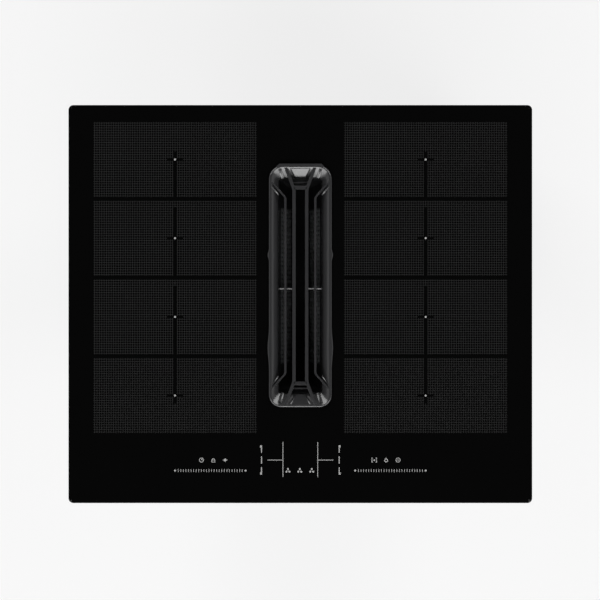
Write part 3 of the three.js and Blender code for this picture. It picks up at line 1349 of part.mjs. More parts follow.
node('suction_box', suctionBox(), blackPlastic);
node('fan_scroll', scroll.trimByPlane([0, -1, 0], -DUCT_JOINT_Y), blackPlastic);
node('discharge_duct', scroll.trimByPlane([0, 1, 0], DUCT_JOINT_Y), blackPlastic);
node('air_box_cover', airBoxCover(), blackPlastic);
node('inlet_plate', inletPlate(), greyPlastic);
node('duct_spigot', ductSpigot(), greyPlastic);

// ---------------------------------------------------------------- extractor fan

function aboutFan(body) {
  return body.translate([SCROLL_X, SCROLL_CENTRE_Y, 0]);
}

// The disc with the raised hub that takes in the motor.
function impellerDisc() {
  const bore = SHAFT_RADIUS + RUNNING_GAP;
  const hubOuter = HUB_RADIUS + IMPELLER_PLATE;
  return aboutFan(revolve([
    [HUB_RADIUS, IMPELLER_UNDER],
    [IMPELLER_RADIUS, IMPELLER_UNDER],
    [IMPELLER_RADIUS, IMPELLER_UNDER + IMPELLER_PLATE],
    [hubOuter, IMPELLER_UNDER + IMPELLER_PLATE],
    [hubOuter, HUB_TOP - IMPELLER_PLATE],
    [hubOuter - IMPELLER_PLATE, HUB_TOP],
    [bore, HUB_TOP],
    [bore, HUB_TOP - IMPELLER_PLATE],
    [HUB_RADIUS, HUB_TOP - IMPELLER_PLATE],
  ], 0, 0));
}

// The blades between two rings, welded on to the disc.
function impellerCage() {
  const top = IMPELLER_UNDER + IMPELLER_HEIGHT;
  const foot = IMPELLER_UNDER + IMPELLER_PLATE;
  const ring = (inner, low) => revolve([
    [inner, low],
    [IMPELLER_RADIUS, low],
    [IMPELLER_RADIUS, low + IMPELLER_PLATE],
    [inner, low + IMPELLER_PLATE],
  ], 0, 0);
  const blades = [];
  for (let i = 0; i < IMPELLER_BLADES; i += 1) {
    const start = (FULL_TURN * i) / IMPELLER_BLADES;
    const along = [0, 0.5, 1].map((share) => {
      const radius = EYE_RADIUS + (BLADE_CHORD - BLADE_THICKNESS) * share;
      const angle = THREE.MathUtils.degToRad(start + BLADE_SWEEP * share ** 2);
      return [radius * Math.cos(angle), radius * Math.sin(angle)];
    });
    blades.push(bentBar(along, BLADE_THICKNESS, foot + 1, top - 1));
  }
  const rings = [
    ring(EYE_RADIUS, foot),
    ring(EYE_RADIUS + BELL_WALL, top - IMPELLER_PLATE),
  ];
  return aboutFan(joined([...rings, ...blades]));
}

function fanMotor() {
  const flange = MOTOR_RADIUS + MOTOR_FLANGE;
  const under = BOX_BOTTOM - MOTOR_FLANGE_THICKNESS;
  const bore = SHAFT_RADIUS + RUNNING_GAP;
  return revolve([
    [bore, under],
    [flange, under],
    [flange, BOX_BOTTOM],
    [MOTOR_RADIUS, BOX_BOTTOM],
    [MOTOR_RADIUS, MOTOR_TOP - HUB_GAP],
    [MOTOR_RADIUS - HUB_GAP, MOTOR_TOP],
    [bore, MOTOR_TOP],
  ], SCROLL_X, SCROLL_CENTRE_Y);
}

function motorShaft() {
  const collarTop = HUB_TOP - IMPELLER_PLATE;
  const collar = 2 * SHAFT_RADIUS;
  const end = HUB_TOP + NUT_HEIGHT + 2;
  return revolve([
    [0, BOX_BOTTOM],
    [SHAFT_RADIUS, BOX_BOTTOM],
    [SHAFT_RADIUS, MOTOR_TOP + RUNNING_GAP],
    [collar, MOTOR_TOP + RUNNING_GAP],
    [collar, collarTop],
    [SHAFT_RADIUS, collarTop],
    [SHAFT_RADIUS, end],
    [0, end],
  ], SCROLL_X, SCROLL_CENTRE_Y, SMALL_SIDES);
}

function impellerNut() {
  const top = HUB_TOP + NUT_HEIGHT;
  const bore = SHAFT_RADIUS + RUNNING_GAP;
  return cylinder(SCROLL_X, SCROLL_CENTRE_Y, NUT_RADIUS, HUB_TOP, top, 6).subtract(
    cylinder(SCROLL_X, SCROLL_CENTRE_Y, bore, HUB_TOP - 1, top + 1, SMALL_SIDES),
  );
}

node('impeller_disc', impellerDisc(), greyPlastic);
node('impeller_cage', impellerCage(), greyPlastic);
node('motor_shaft', motorShaft(), motorSteel);
node('impeller_nut', impellerNut(), motorSteel);
node('fan_motor', fanMotor(), motorSteel);

// ---------------------------------------------------------------- overflow tank

function overflowTank() {
  const flangeUnder = TANK_TOP - TANK_FLANGE_THICKNESS;
  const ring = (inset, z) => contour(
    CHAMBER_X + BOX_WALL - inset,
    CHAMBER_Y + BOX_WALL - inset,
    TANK_CORNER - inset,
    z,
    GRILLE_CENTRE_Y,
    4,
  );
  const bottom = TANK_TOP - TANK_DEPTH;
  const parts = [
    loft([ring(TANK_TAPER + 3, bottom), ring(TANK_TAPER, bottom + 3), ring(0, TANK_TOP)]),
    prism(chamberOutline(BOX_WALL + TANK_FLANGE), flangeUnder, TANK_TOP),
  ];
  const gripInner = CHAMBER_Y + BOX_WALL + TANK_FLANGE + RUNNING_GAP;
  [-1, 1].forEach((end) => {
    const ys = [gripInner - TANK_FLANGE, gripInner + TANK_WALL]
      .map((y) => GRILLE_CENTRE_Y + end * y)
      .sort((a, b) => a - b);
    const tongueYs = [gripInner, gripInner + TANK_WALL]
      .map((y) => GRILLE_CENTRE_Y + end * y)
      .sort((a, b) => a - b);
    const half = GRIP_WIDTH / 2;
    parts.push(box(-half, half, ys[0], ys[1], flangeUnder, TANK_TOP));
    parts.push(box(
      -half,
      half,
      tongueYs[0],
      tongueYs[1],
      flangeUnder,
      BOX_BOTTOM + TONGUE_HEIGHT,
    ));
  });
  const cavity = loft([
    ring(TANK_TAPER + TANK_WALL + 2, bottom + TANK_WALL),
    ring(TANK_TAPER + TANK_WALL, bottom + TANK_WALL + 3),
    ring(TANK_WALL, TANK_TOP + 1),
  ]);
  return joined(parts).subtract(cavity);
}

node('overflow_tank', overflowTank(), greyPlastic);
node('tank_seal', flatRing(
  CHAMBER_X,
  CHAMBER_Y,
  BOX_WALL + TANK_FLANGE,
  SHAFT_CORNER + SHAFT_WALL,
  TANK_TOP,
  BOX_BOTTOM,
  GRILLE_CENTRE_Y,
), rubber);

// ---------------------------------------------------------------- mains connection

function terminalBlock() {
  const blockX = TERMINAL_WIDTH / 2 - TERMINAL_CLEARANCE;
  const halfDepth = TERMINAL_BLOCK_DEPTH / 2;
  const under = TRAY_BOTTOM - TERMINAL_BLOCK_HEIGHT;
  const body = box(
    TERMINAL_X - blockX,
    TERMINAL_X + blockX,
    TERMINAL_Y - halfDepth,
    TERMINAL_Y + halfDepth,
    under,
    TRAY_BOTTOM,
  );
  const pitch = (2 * blockX) / TERMINAL_WAYS;
  const cuts = [];
  for (let way = 0; way < TERMINAL_WAYS; way += 1) {
    const x = TERMINAL_X - blockX + (way + 0.5) * pitch;
    cuts.push(box(
      x - pitch / 3,
      x + pitch / 3,
      TERMINAL_Y - halfDepth - 1,
      TERMINAL_Y - halfDepth / 3,
      under - 1,
      under + TERMINAL_BLOCK_HEIGHT / 3,
    ));
    cuts.push(cylinder(x, TERMINAL_Y + halfDepth / 3, pitch / 4, under - 1, under + 4, 8));
  }
  return without(body, cuts);
}

function terminalCover() {
  const shape = (inset) => roundedRectangle(
    TERMINAL_WIDTH / 2 - inset,
    TERMINAL_DEPTH / 2 - inset,
    4,
    TERMINAL_X,
    TERMINAL_Y,
  );
  const under = TRAY_BOTTOM - TERMINAL_HEIGHT;
  const glandZ = TRAY_BOTTOM - TERMINAL_HEIGHT / 2;
  const holeRadius = GLAND_RADIUS + RUNNING_GAP;
  const glandHole = new THREE.Shape().absarc(TERMINAL_X, glandZ, holeRadius, 0, 2 * Math.PI);
  const wallY = TERMINAL_Y + TERMINAL_DEPTH / 2;
  return without(prism(shape(0), under, TRAY_BOTTOM), [
    prism(shape(TERMINAL_WALL), under + TERMINAL_WALL, TRAY_BOTTOM + 1),
    prismY(glandHole, wallY - 2 * TERMINAL_WALL, wallY + 1, ROUND_SIDES / 4),
  ]);
}

function cableGland() {
  const wallY = TERMINAL_Y + TERMINAL_DEPTH / 2;
  const glandZ = TRAY_BOTTOM - TERMINAL_HEIGHT / 2;
  const disc = (radius) => new THREE.Shape().absarc(TERMINAL_X, glandZ, radius, 0, 2 * Math.PI);
  const innerY = wallY - TERMINAL_WALL - GLAND_NUT;
  return without(joined([
    prismY(disc(GLAND_RADIUS), innerY, wallY + GLAND_LENGTH, ROUND_SIDES / 4),
    prismY(disc(GLAND_RADIUS + GLAND_LIP), wallY, wallY + GLAND_NUT, ROUND_SIDES / 4),
  ]), [prismY(disc(CABLE_RADIUS), innerY - 1, wallY + GLAND_LENGTH + 1, ROUND_SIDES / 4)]);
}

function fanControlBox() {
  const x = -TRAY_X + CONTROL_BOX_SIDE + CONTROL_BOX_WIDTH / 2;
  const halfX = CONTROL_BOX_WIDTH / 2;
  const halfY = CONTROL_BOX_LENGTH / 2;
  const under = TRAY_BOTTOM - CONTROL_BOX_HEIGHT;
  const outline = (reach) => roundedRectangle(
    halfX + reach,
    halfY + reach,
    CONTROL_BOX_CORNER + reach,
    x,
    CONTROL_BOX_Y,
  );
  const parts = [
    prism(outline(0), under, TRAY_BOTTOM),
    prism(outline(CONTROL_BOX_LIP), under, under + CONTROL_BOX_HEIGHT / 4),
  ];
  [-1, 1].forEach((end) => {
    const y = CONTROL_BOX_Y + end * (halfY + POST_RADIUS);
    const ear = roundedRectangle(2 * POST_RADIUS, 2 * POST_RADIUS, POST_RADIUS, x, y);
    parts.push(prism(ear, TRAY_BOTTOM - COVER_THICKNESS, TRAY_BOTTOM));
  });
  return joined(parts);
}

node('terminal_block', terminalBlock(), whitePlastic);
node('terminal_cover', terminalCover(), greyPlastic);
node('cable_gland', cableGland(), blackPlastic);
node('fan_control_box', fanControlBox(), greyPlastic);

// ---------------------------------------------------------------- worktop clamps

// A sheet-metal clamp: flat under the tray, up, and back in under the worktop.
function clampBracket(side, y) {
  const near = TRAY_X - CLAMP_BASE;
  const far = CUTOUT_X + CLAMP_REACH;
  const padTop = -WORKTOP_THICKNESS;
  const baseUnder = TRAY_BOTTOM - CLAMP_SHEET;
  const profile = polygon([
    [near, baseUnder],
    [far, baseUnder],
    [far, padTop],
    [CUTOUT_X + CLAMP_SHEET, padTop],
    [CUTOUT_X + CLAMP_SHEET, padTop - CLAMP_SHEET],
    [far - CLAMP_SHEET, padTop - CLAMP_SHEET],
    [far - CLAMP_SHEET, TRAY_BOTTOM],
    [near, TRAY_BOTTOM],
  ]);
  const strip = prismY(profile, -CLAMP_WIDTH / 2, CLAMP_WIDTH / 2);
  const hole = cylinder(
    CLAMP_SCREW_X,
    0,
    SCREW_RADIUS + SCREW_GAP,
    baseUnder - 1,
    TRAY_BOTTOM + 1,
    SMALL_SIDES,
  );
  const bracket = strip.subtract(hole);
  return (side < 0 ? bracket.rotate([0, 0, 180]) : bracket).translate([0, y, 0]);
}

function clampScrew(side, y) {
  const headTop = TRAY_BOTTOM - CLAMP_SHEET;
  const end = TRAY_FLOOR + SCREW_REACH;
  return revolve([
    [0, headTop - SCREW_HEAD_HEIGHT],
    [SCREW_HEAD_RADIUS * 0.8, headTop - SCREW_HEAD_HEIGHT],
    [SCREW_HEAD_RADIUS, headTop - SCREW_HEAD_HEIGHT / 2],
    [SCREW_HEAD_RADIUS, headTop],
    [SCREW_RADIUS, headTop],
    [SCREW_RADIUS, end],
    [0, end],
  ], side * CLAMP_SCREW_X, y, SMALL_SIDES);
}

CLAMP_PLACES.forEach(({ name, side, y }) => {
  node(`clamp_bracket_${name}`, clampBracket(side, y), steelSheet);
  node(`clamp_screw_${name}`, clampScrew(side, y), motorSteel);
});

export default assembly;
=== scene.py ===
import json
import math

import bmesh
import bpy
from bpy.props import FloatProperty, FloatVectorProperty, PointerProperty
from bpy.types import Operator, Panel, PropertyGroup
from mathutils import Matrix, Vector

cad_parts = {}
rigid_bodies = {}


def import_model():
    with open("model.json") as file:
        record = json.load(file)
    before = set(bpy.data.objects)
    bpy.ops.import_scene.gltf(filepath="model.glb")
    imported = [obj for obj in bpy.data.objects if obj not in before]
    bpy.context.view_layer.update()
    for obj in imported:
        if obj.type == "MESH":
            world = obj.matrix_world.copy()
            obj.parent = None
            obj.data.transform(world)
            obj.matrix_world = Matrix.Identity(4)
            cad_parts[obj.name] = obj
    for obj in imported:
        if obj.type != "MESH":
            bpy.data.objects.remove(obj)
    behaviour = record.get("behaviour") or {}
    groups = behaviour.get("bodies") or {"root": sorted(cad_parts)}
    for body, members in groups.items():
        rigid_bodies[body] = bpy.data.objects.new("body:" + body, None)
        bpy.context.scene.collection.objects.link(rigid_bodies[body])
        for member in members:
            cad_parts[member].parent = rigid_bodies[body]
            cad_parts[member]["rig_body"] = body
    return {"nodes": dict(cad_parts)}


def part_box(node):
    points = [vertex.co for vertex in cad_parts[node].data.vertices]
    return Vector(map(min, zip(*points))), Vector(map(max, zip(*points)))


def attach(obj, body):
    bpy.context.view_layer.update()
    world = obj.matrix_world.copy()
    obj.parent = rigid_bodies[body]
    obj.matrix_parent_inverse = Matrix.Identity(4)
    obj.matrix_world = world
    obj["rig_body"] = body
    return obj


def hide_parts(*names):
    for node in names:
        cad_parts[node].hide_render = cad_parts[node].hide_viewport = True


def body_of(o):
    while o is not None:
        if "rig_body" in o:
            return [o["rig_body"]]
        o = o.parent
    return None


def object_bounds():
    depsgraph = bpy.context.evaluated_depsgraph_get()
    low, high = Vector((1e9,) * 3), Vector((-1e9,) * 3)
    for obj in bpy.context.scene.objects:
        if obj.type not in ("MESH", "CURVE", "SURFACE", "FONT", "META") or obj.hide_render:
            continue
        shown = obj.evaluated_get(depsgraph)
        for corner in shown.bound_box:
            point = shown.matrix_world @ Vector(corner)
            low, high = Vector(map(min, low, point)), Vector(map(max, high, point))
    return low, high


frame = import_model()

bl_info = {
    "name": "Downdraft induction cooktop",
    "version": (1, 0, 0),
    "blender": (4, 5, 0),
    "location": "3D View > Sidebar > Cooktop",
    "description": "Prints, finishes and stage of a downdraft induction cooktop",
    "category": "Object",
}

CAD_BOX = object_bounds()
GLASS_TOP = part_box("glass_top")[1].z


def linear(code):
    """Linear RGBA from an sRGB hex value."""
    channels = [int(code[i:i + 2], 16) / 255 for i in (0, 2, 4)]
    bent = [c / 12.92 if c <= 0.04045 else ((c + 0.055) / 1.055) ** 2.4 for c in channels]
    return (*bent, 1.0)


def colour_property(name, description, code):
    """A colour that a user can change, from its sRGB hex value."""
    return FloatVectorProperty(
        name=name, description=description, subtype="COLOR", size=4, min=0.0, max=1.0,
        default=linear(code))


def length_property(name, description, value):
    """A length that a user can change, in metres."""
    return FloatProperty(
        name=name, description=description, subtype="DISTANCE", unit="LENGTH", min=0.0,
        default=value)


class PrintSettings(PropertyGroup):
    """Sizes and colours of the enamel printed on the glass."""

    thickness: length_property("Thickness", "Height of the enamel over the glass", 0.00005)
    pitch_across: length_property("Pitch across", "Distance between lines, left to right", 0.003056)
    pitch_deep: length_property("Pitch deep", "Distance between lines, front to back", 0.003142)
    line: length_property("Line", "Width of the raster's lines", 0.0004)
    zone_gap: length_property("Zone gap", "Bare strip between two cooking zones", 0.0048)
    dot: length_property("Dot", "Diameter of the dot in each zone", 0.0026)
    stroke: length_property("Stroke", "Width of the symbols' strokes", 0.0008)
    raster_colour: colour_property("Raster", "Grey of the zones' raster", "1E1E1E")
    mark_colour: colour_property("Marks", "Grey of the dots, sliders and symbols", "999998")


class GrilleSettings(PropertyGroup):
    """Sizes of the inlet grille and of the grease filter's panels."""

    half_width: length_property("Half width", "From the middle to the rim's side", 0.0406)
    corner_front: length_property("Front corners", "Radius of the rim's front corners", 0.016)
    corner_back: length_property("Back corners", "Radius of the rim's back corners", 0.018)
    wall: length_property("Wall", "Thickness of the moulded funnel", 0.0015)
    main_bar: length_property("Main bars", "Width of the two middle bars", 0.0044)
    side_bar: length_property("Side bars", "Width of the two outer bars", 0.0029)
    bar_depth: length_property("Bar depth", "Height of the bars", 0.006)
    edge: length_property("Edge", "Rounding of the bars' edges", 0.0004)
    hole_pitch: length_property("Hole pitch", "Distance between the filter's holes", 0.0059)
    hole: length_property("Hole", "Width of the filter's holes", 0.0037)
    sheet: length_property("Sheet", "Thickness of the filter's panels", 0.0008)


class FinishSettings(PropertyGroup):
    """Colours of the main finishes."""

    glass: colour_property("Glass", "Black glass-ceramic", "060606")
    grille: colour_property("Grille", "Satin black moulded plastic", "2B2B2C")
    housing: colour_property("Housing", "Black plastic of the extractor housing", "1F2021")
    grey: colour_property("Grey parts", "Grey plastic of shaft, plate, spigot and tank", "4A4C4F")
    zinc: colour_property("Zinc", "Zinc-coated steel of tray and clamps", "A9ADB0")


class StageSettings(PropertyGroup):
    """Camera, lamps and floor."""

    camera_height: length_property("Camera height", "Over the glass", 1.5)
    lens: FloatProperty(name="Lens", description="Focal length", unit="CAMERA", default=69.6)
    lamp: FloatProperty(name="Lamp", description="Power of each lamp", unit="POWER", default=88.0)
    floor: colour_property("Floor", "Pale grey floor", "F6F6F6")


# ------------------------------------------------------------------ making pieces

def add_bar(bm, x0, x1, y0, y1, z0, z1):
    """A straight bar between two corners."""
    centre = Vector(((x0 + x1) / 2, (y0 + y1) / 2, (z0 + z1) / 2))
    size = Matrix.Diagonal((x1 - x0, y1 - y0, z1 - z0, 1.0))
    bmesh.ops.create_cube(bm, size=1.0, matrix=Matrix.Translation(centre) @ size)


def add_disc(bm, x, y, radius, z0, z1, steps=20):
    """A flat round disc."""
    bmesh.ops.create_cone(
        bm, cap_ends=True, cap_tris=False, segments=steps, radius1=radius, radius2=radius,
        depth=z1 - z0, matrix=Matrix.Translation((x, y, (z0 + z1) / 2)))


def add_arc(bm, x, y, radius, width, z0, z1, turn=360.0, steps=24):
    """A flat ring, or an arc of one from the right where turn is under 360 degrees."""
    whole = turn >= 360.0
    inner, outer = radius - width / 2, radius + width / 2
    section = ((inner, z0), (outer, z0), (outer, z1), (inner, z1))
    corners = [bm.verts.new((x + reach, y, z)) for reach, z in section]
    profile = corners + [bm.edges.new((corners[i], corners[(i + 1) % 4])) for i in range(4)]
    if not whole:
        profile.append(bm.faces.new(corners))
    bmesh.ops.spin(
        bm, geom=profile, cent=(x, y, 0), axis=(0, 0, 1), angle=math.radians(turn), steps=steps,
        use_merge=whole)


def place_station(verts, station):
    """Move the four corners of a bar's end to (y, left, right, under, top)."""
    y, left, right, under, top = station
    middle = sum((v.co for v in verts), Vector()) / len(verts)
    for vert in verts:
        vert.co = (right if vert.co.x > middle.x else left, y, top if vert.co.z > middle.z else under)


def add_run(bm, *stations):
    """A bar that runs along y through its stations, extruded from one to the next."""
    made = bmesh.ops.create_cube(bm, size=1.0)["verts"]
    end = [v for v in made if v.co.y > 0]
    place_station([v for v in made if v.co.y < 0], stations[0])
    place_station(end, stations[1])
    for station in stations[2:]:
        cap = next(f for f in end[0].link_faces if all(v in end for v in f.verts))
        grown = bmesh.ops.extrude_face_region(bm, geom=[cap])["geom"]
        if cap.is_valid:
            bmesh.ops.delete(bm, geom=[cap], context="FACES_ONLY")
        end = [part for part in grown if isinstance(part, bmesh.types.BMVert)]
        place_station(end, station)
        made += end
    return made


def finish_piece(bm, name, material, body="hob", sharp=30.0):
    """Make the mesh a piece that rides on a body, with soft shading up to the sharp angle."""
    bmesh.ops.remove_doubles(bm, verts=bm.verts, dist=1e-6)
    bmesh.ops.recalc_face_normals(bm, faces=bm.faces)
    limit = math.radians(sharp)
    for face in bm.faces:
        face.smooth = True
    for edge in bm.edges:
        edge.smooth = edge.smooth and edge.is_manifold and edge.calc_face_angle(0.0) < limit
    mesh = bpy.data.meshes.new(name)
    bm.to_mesh(mesh)
    bm.free()
    mesh.materials.append(material)
    piece = bpy.data.objects.new(name, mesh)
    bpy.context.scene.collection.objects.link(piece)
    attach(piece, body)
    return piece


def dress(material, *nodes):
    """Give CAD nodes a material."""
    for name in nodes:
        for place in frame["nodes"][name].material_slots:
            place.material = material


EASED_FROM = 40.0  # the angle in degrees from which an edge is rounded
SHADED_TO = 33.0  # and the angle up to which faces are shaded as one


def ease(material, edge, *nodes):
    """Stand softly shaded copies with eased edges in for CAD nodes, in the same place and size."""
    for name in nodes:
        node = frame["nodes"][name]
        bm = bmesh.new()
        bm.from_mesh(node.data)
        body = body_of(node)[0]
        piece = finish_piece(bm, f"{name}_shell", material, body, SHADED_TO)
        bevel = piece.modifiers.new("eased_edges", "BEVEL")
        bevel.width = edge
        bevel.segments = 2
        bevel.limit_method = "ANGLE"
        bevel.angle_limit = math.radians(EASED_FROM)
        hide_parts(name)


# ------------------------------------------------------------------ materials

def add_node(tree, kind, settings=None, inputs=None):
    """Add a node, set it up and link its inputs."""
    node = tree.nodes.new(kind)
    for key, value in (settings or {}).items():
        setattr(node, key, value)
    for socket, value in (inputs or {}).items():
        if isinstance(value, bpy.types.NodeSocket):
            tree.links.new(value, node.inputs[socket])
        else:
            node.inputs[socket].default_value = value
    return node


def new_material(name, **sockets):
    """A material with the constants set on its shader's own sockets."""
    material = bpy.data.materials.new(name)
    material.use_nodes = True
    shader = material.node_tree.nodes["Principled BSDF"]
    for socket, value in sockets.items():
        shader.inputs[socket.replace("_", " ")].default_value = value
    return material, material.node_tree, shader


def surface(name, dark, light, rough, metallic=0.0, patch_mm=30.0, grain_mm=0.8,
            depth_mm=0.02, stretch=(1.0, 1.0, 1.0), **sockets):
    """A finish whose colour and roughness drift over patches, with a fine grain in its bump."""
    material, tree, shader = new_material(name, Metallic=metallic, **sockets)
    place = add_node(tree, "ShaderNodeTexCoord")
    mapped = add_node(tree, "ShaderNodeMapping", inputs={
        "Vector": place.outputs["Object"], "Scale": stretch})
    patches = add_node(tree, "ShaderNodeTexNoise", inputs={
        "Vector": mapped.outputs["Vector"], "Scale": 1000.0 / patch_mm, "Detail": 4.0, "Roughness": 0.6})
    tint = add_node(tree, "ShaderNodeMix", {"data_type": "RGBA"}, {
        "Factor": patches.outputs["Fac"], "A": dark, "B": light})
    tree.links.new(tint.outputs["Result"], shader.inputs["Base Color"])
    spread = add_node(tree, "ShaderNodeMapRange", inputs={
        "Value": patches.outputs["Fac"], "From Min": 0.3, "From Max": 0.7,
        "To Min": rough[0], "To Max": rough[1]})
    tree.links.new(spread.outputs["Result"], shader.inputs["Roughness"])
    if depth_mm > 0:
        grain = add_node(tree, "ShaderNodeTexNoise", inputs={
            "Vector": mapped.outputs["Vector"], "Scale": 1000.0 / grain_mm, "Detail": 2.0})
        bump = add_node(tree, "ShaderNodeBump", inputs={
            "Height": grain.outputs["Fac"], "Distance": depth_mm / 1000.0, "Strength": 1.0})
        tree.links.new(bump.outputs["Normal"], shader.inputs["Normal"])
    return material


def tone(colour, share):
    """The same colour made darker or lighter by a share."""
    return (*(min(1.0, c * share) for c in colour[:3]), 1.0)


def black_glass_ceramic(colours):
    # Polished black glass-ceramic, rolled as a sheet: deep black, dead flat and of one gloss all over.
    return surface(
        "black_glass_ceramic", tone(colours.glass, 0.9), tone(colours.glass, 1.1), (0.035, 0.035),
        patch_mm=90.0, depth_mm=0.0, IOR=1.54)


def fired_enamel(name, colour):
    # Ceramic enamel, screen-printed and fired into the glass: matt next to the polish, all but even.
    return surface(
        name, tone(colour, 0.97), tone(colour, 1.03), (0.43, 0.46), patch_mm=60.0, grain_mm=0.3,
        depth_mm=0.0005, IOR=1.5)


def satin_black_plastic(name, colour, rough=(0.34, 0.42)):
    # Injection-moulded glass-filled nylon with a fine spark texture: soft satin highlights.
    # The texture's grain is about 0.1 mm in reality and is drawn 0.5 mm wide, so that it shows.
    return surface(
        name, tone(colour, 0.92), tone(colour, 1.08), rough, patch_mm=25.0, grain_mm=0.5,
        depth_mm=0.012, IOR=1.5)


def white_polyester():
    # Injection-moulded PBT polyester, unpolished: off-white with a dull, even sheen.
    return surface("white_pbt", linear("CFCDC6"), linear("DDDBD4"), (0.45, 0.55))


def zinc_coated_steel(name, colour):
    # Hot-dip zinc-coated steel sheet: pale grey metal with frosted patches and soft reflections.
    return surface(
        name, tone(colour, 0.82), tone(colour, 1.0), (0.36, 0.56), metallic=1.0, patch_mm=9.0,
        grain_mm=1.2, depth_mm=0.006)


def rolled_aluminium(name, colour, rough=(0.3, 0.42)):
    # Bare rolled aluminium: fine parallel rolling marks, twelve times as long along x as they are wide.
    return surface(
        name, tone(colour, 0.88), tone(colour, 1.0), rough, metallic=1.0, patch_mm=18.0,
        grain_mm=1.5, depth_mm=0.004, stretch=(1.0, 12.0, 12.0))


def litz_copper():
    # Wound litz, enamelled copper strands: warm brown metal with fine strand lines.
    # The strands are 0.3 mm thick in reality and are drawn 0.9 mm wide, so that they show.
    return surface(
        "litz_copper", linear("7A4526"), linear("B46A3C"), (0.38, 0.5), metallic=1.0, patch_mm=1.6,
        grain_mm=0.9, depth_mm=0.08)


def closed_cell_foam():
    # Closed-cell polyethylene foam strip: dull dark grey with a fine cell structure.
    return surface(
        "closed_cell_foam", linear("1E1E1F"), linear("2C2C2D"), (0.85, 0.95), patch_mm=3.0,
        grain_mm=0.9, depth_mm=0.15)


def silicone_rubber():
    # Moulded silicone seal: matt black with a faint sheen.
    return surface(
        "silicone_rubber", linear("121213"), linear("1B1B1C"), (0.6, 0.72), patch_mm=20.0,
        grain_mm=0.6, depth_mm=0.01)


def pressed_mica():
    # Pressed mica paper: pale buff with small glittering flakes.
    return surface(
        "pressed_mica", linear("9C9078"), linear("CDC3A8"), (0.35, 0.6), patch_mm=2.5, grain_mm=1.5,
        depth_mm=0.03)


def circuit_laminate():
    # Glass-epoxy laminate under green solder mask: glossy, with slight tone changes over the copper.
    return surface(
        "circuit_laminate", linear("174A2B"), linear("25683D"), (0.22, 0.34), patch_mm=6.0,
        grain_mm=2.0, depth_mm=0.02)


def drawn_steel(name, code):
    # Drawn steel, machined and lightly oiled: mid grey with soft circular sheen.
    return surface(
        name, tone(linear(code), 0.85), linear(code), (0.28, 0.4), metallic=1.0, patch_mm=8.0,
        grain_mm=0.8, depth_mm=0.004)


# ------------------------------------------------------------------ print on the glass

ROWS = 4  # cooking zones on each side, counted from the back
CROSS_ARM = 0.0102  # from a zone's middle to the end of its bare cross, left and right
CROSS_REACH = 0.0097  # the same to the back and the front
CROSS_WIDTH = 0.0031
SPINE_WIDTH = 0.0048  # the bare line through the zones' middles, from back to front
SPINE_SETBACK = 0.008  # how far it stops short of the back edge of the two middle zones


def zone_rows(settings):
    """The lowest and highest y of the zones on one side, back to front."""
    low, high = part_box("insulation_right")
    depth = (high.y - low.y - (ROWS - 1) * settings.zone_gap) / ROWS
    rows = []
    for row in range(ROWS):
        top = high.y - row * (depth + settings.zone_gap)
        rows.append((top - depth, top))
    return rows


def spans(start, end, gaps):
    """What is left of a stretch once the gaps are taken out."""
    left = []
    for low, high in sorted(gaps):
        if high <= start or low >= end:
            continue
        if low > start:
            left.append((start, low))
        start = max(start, high)
    if start < end:
        left.append((start, end))
    return left


def bare_strips(row, low, high, middle_x):
    """The bare cross and centre line of a zone, as (x0, x1, y0, y1)."""
    middle = (low + high) / 2
    half = CROSS_WIDTH / 2
    top = (middle + CROSS_REACH, high - SPINE_SETBACK, high - SPINE_SETBACK, high)[row]
    bottom = middle - CROSS_REACH if row == ROWS - 1 else low
    return [
        (middle_x - CROSS_ARM, middle_x + CROSS_ARM, middle - half, middle + half),
        (middle_x - SPINE_WIDTH / 2, middle_x + SPINE_WIDTH / 2, bottom, top),
    ]


def print_raster(settings, side, row, material):
    """The raster of one cooking zone, its cross lines a little lower so that no two tops coincide."""
    inner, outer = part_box(f"insulation_{side}")
    x0, x1 = inner.x, outer.x
    y0, y1 = zone_rows(settings)[row]
    strips = bare_strips(row, y0, y1, (x0 + x1) / 2)
    half = settings.line / 2
    z0, z1 = GLASS_TOP, GLASS_TOP + settings.thickness
    bm = bmesh.new()
    across = round((x1 - x0) / settings.pitch_across)
    for i in range(across):
        x = (x0 + x1) / 2 + (i - (across - 1) / 2) * settings.pitch_across
        gaps = [strip[2:] for strip in strips if strip[0] < x + half and strip[1] > x - half]
        for low, high in spans(y0, y1, gaps):
            add_bar(bm, x - half, x + half, low, high, z0, z1)
    deep = round((y1 - y0) / settings.pitch_deep)
    for i in range(deep):
        y = (y0 + y1) / 2 + (i - (deep - 1) / 2) * settings.pitch_deep
        gaps = [strip[:2] for strip in strips if strip[2] < y + half and strip[3] > y - half]
        for low, high in spans(x0, x1, gaps):
            add_bar(bm, low, high, y - half, y + half, z0, z1 - settings.thickness / 5)
    finish_piece(bm, f"zone_raster_{side}_{row + 1}", material)


class COOKTOP_OT_zone_print(Operator):
    """Print the eight cooking zones' rasters and centre dots"""

    bl_idname = "cooktop.zone_print"
    bl_label = "Cooking zones"

    def execute(self, context):
        settings = context.scene.cooktop_print
        raster = fired_enamel("raster_enamel", settings.raster_colour)
        marks = fired_enamel("dot_enamel", settings.mark_colour)
        for side in ("left", "right"):
            for row in range(ROWS):
                print_raster(settings, side, row, raster)
            low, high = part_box(f"insulation_{side}")
            bm = bmesh.new()
            for y0, y1 in zone_rows(settings):
                add_disc(bm, (low.x + high.x) / 2, (y0 + y1) / 2, settings.dot / 2, GLASS_TOP,
                         GLASS_TOP + settings.thickness)
            finish_piece(bm, f"zone_dots_{side}", marks)
        return {"FINISHED"}


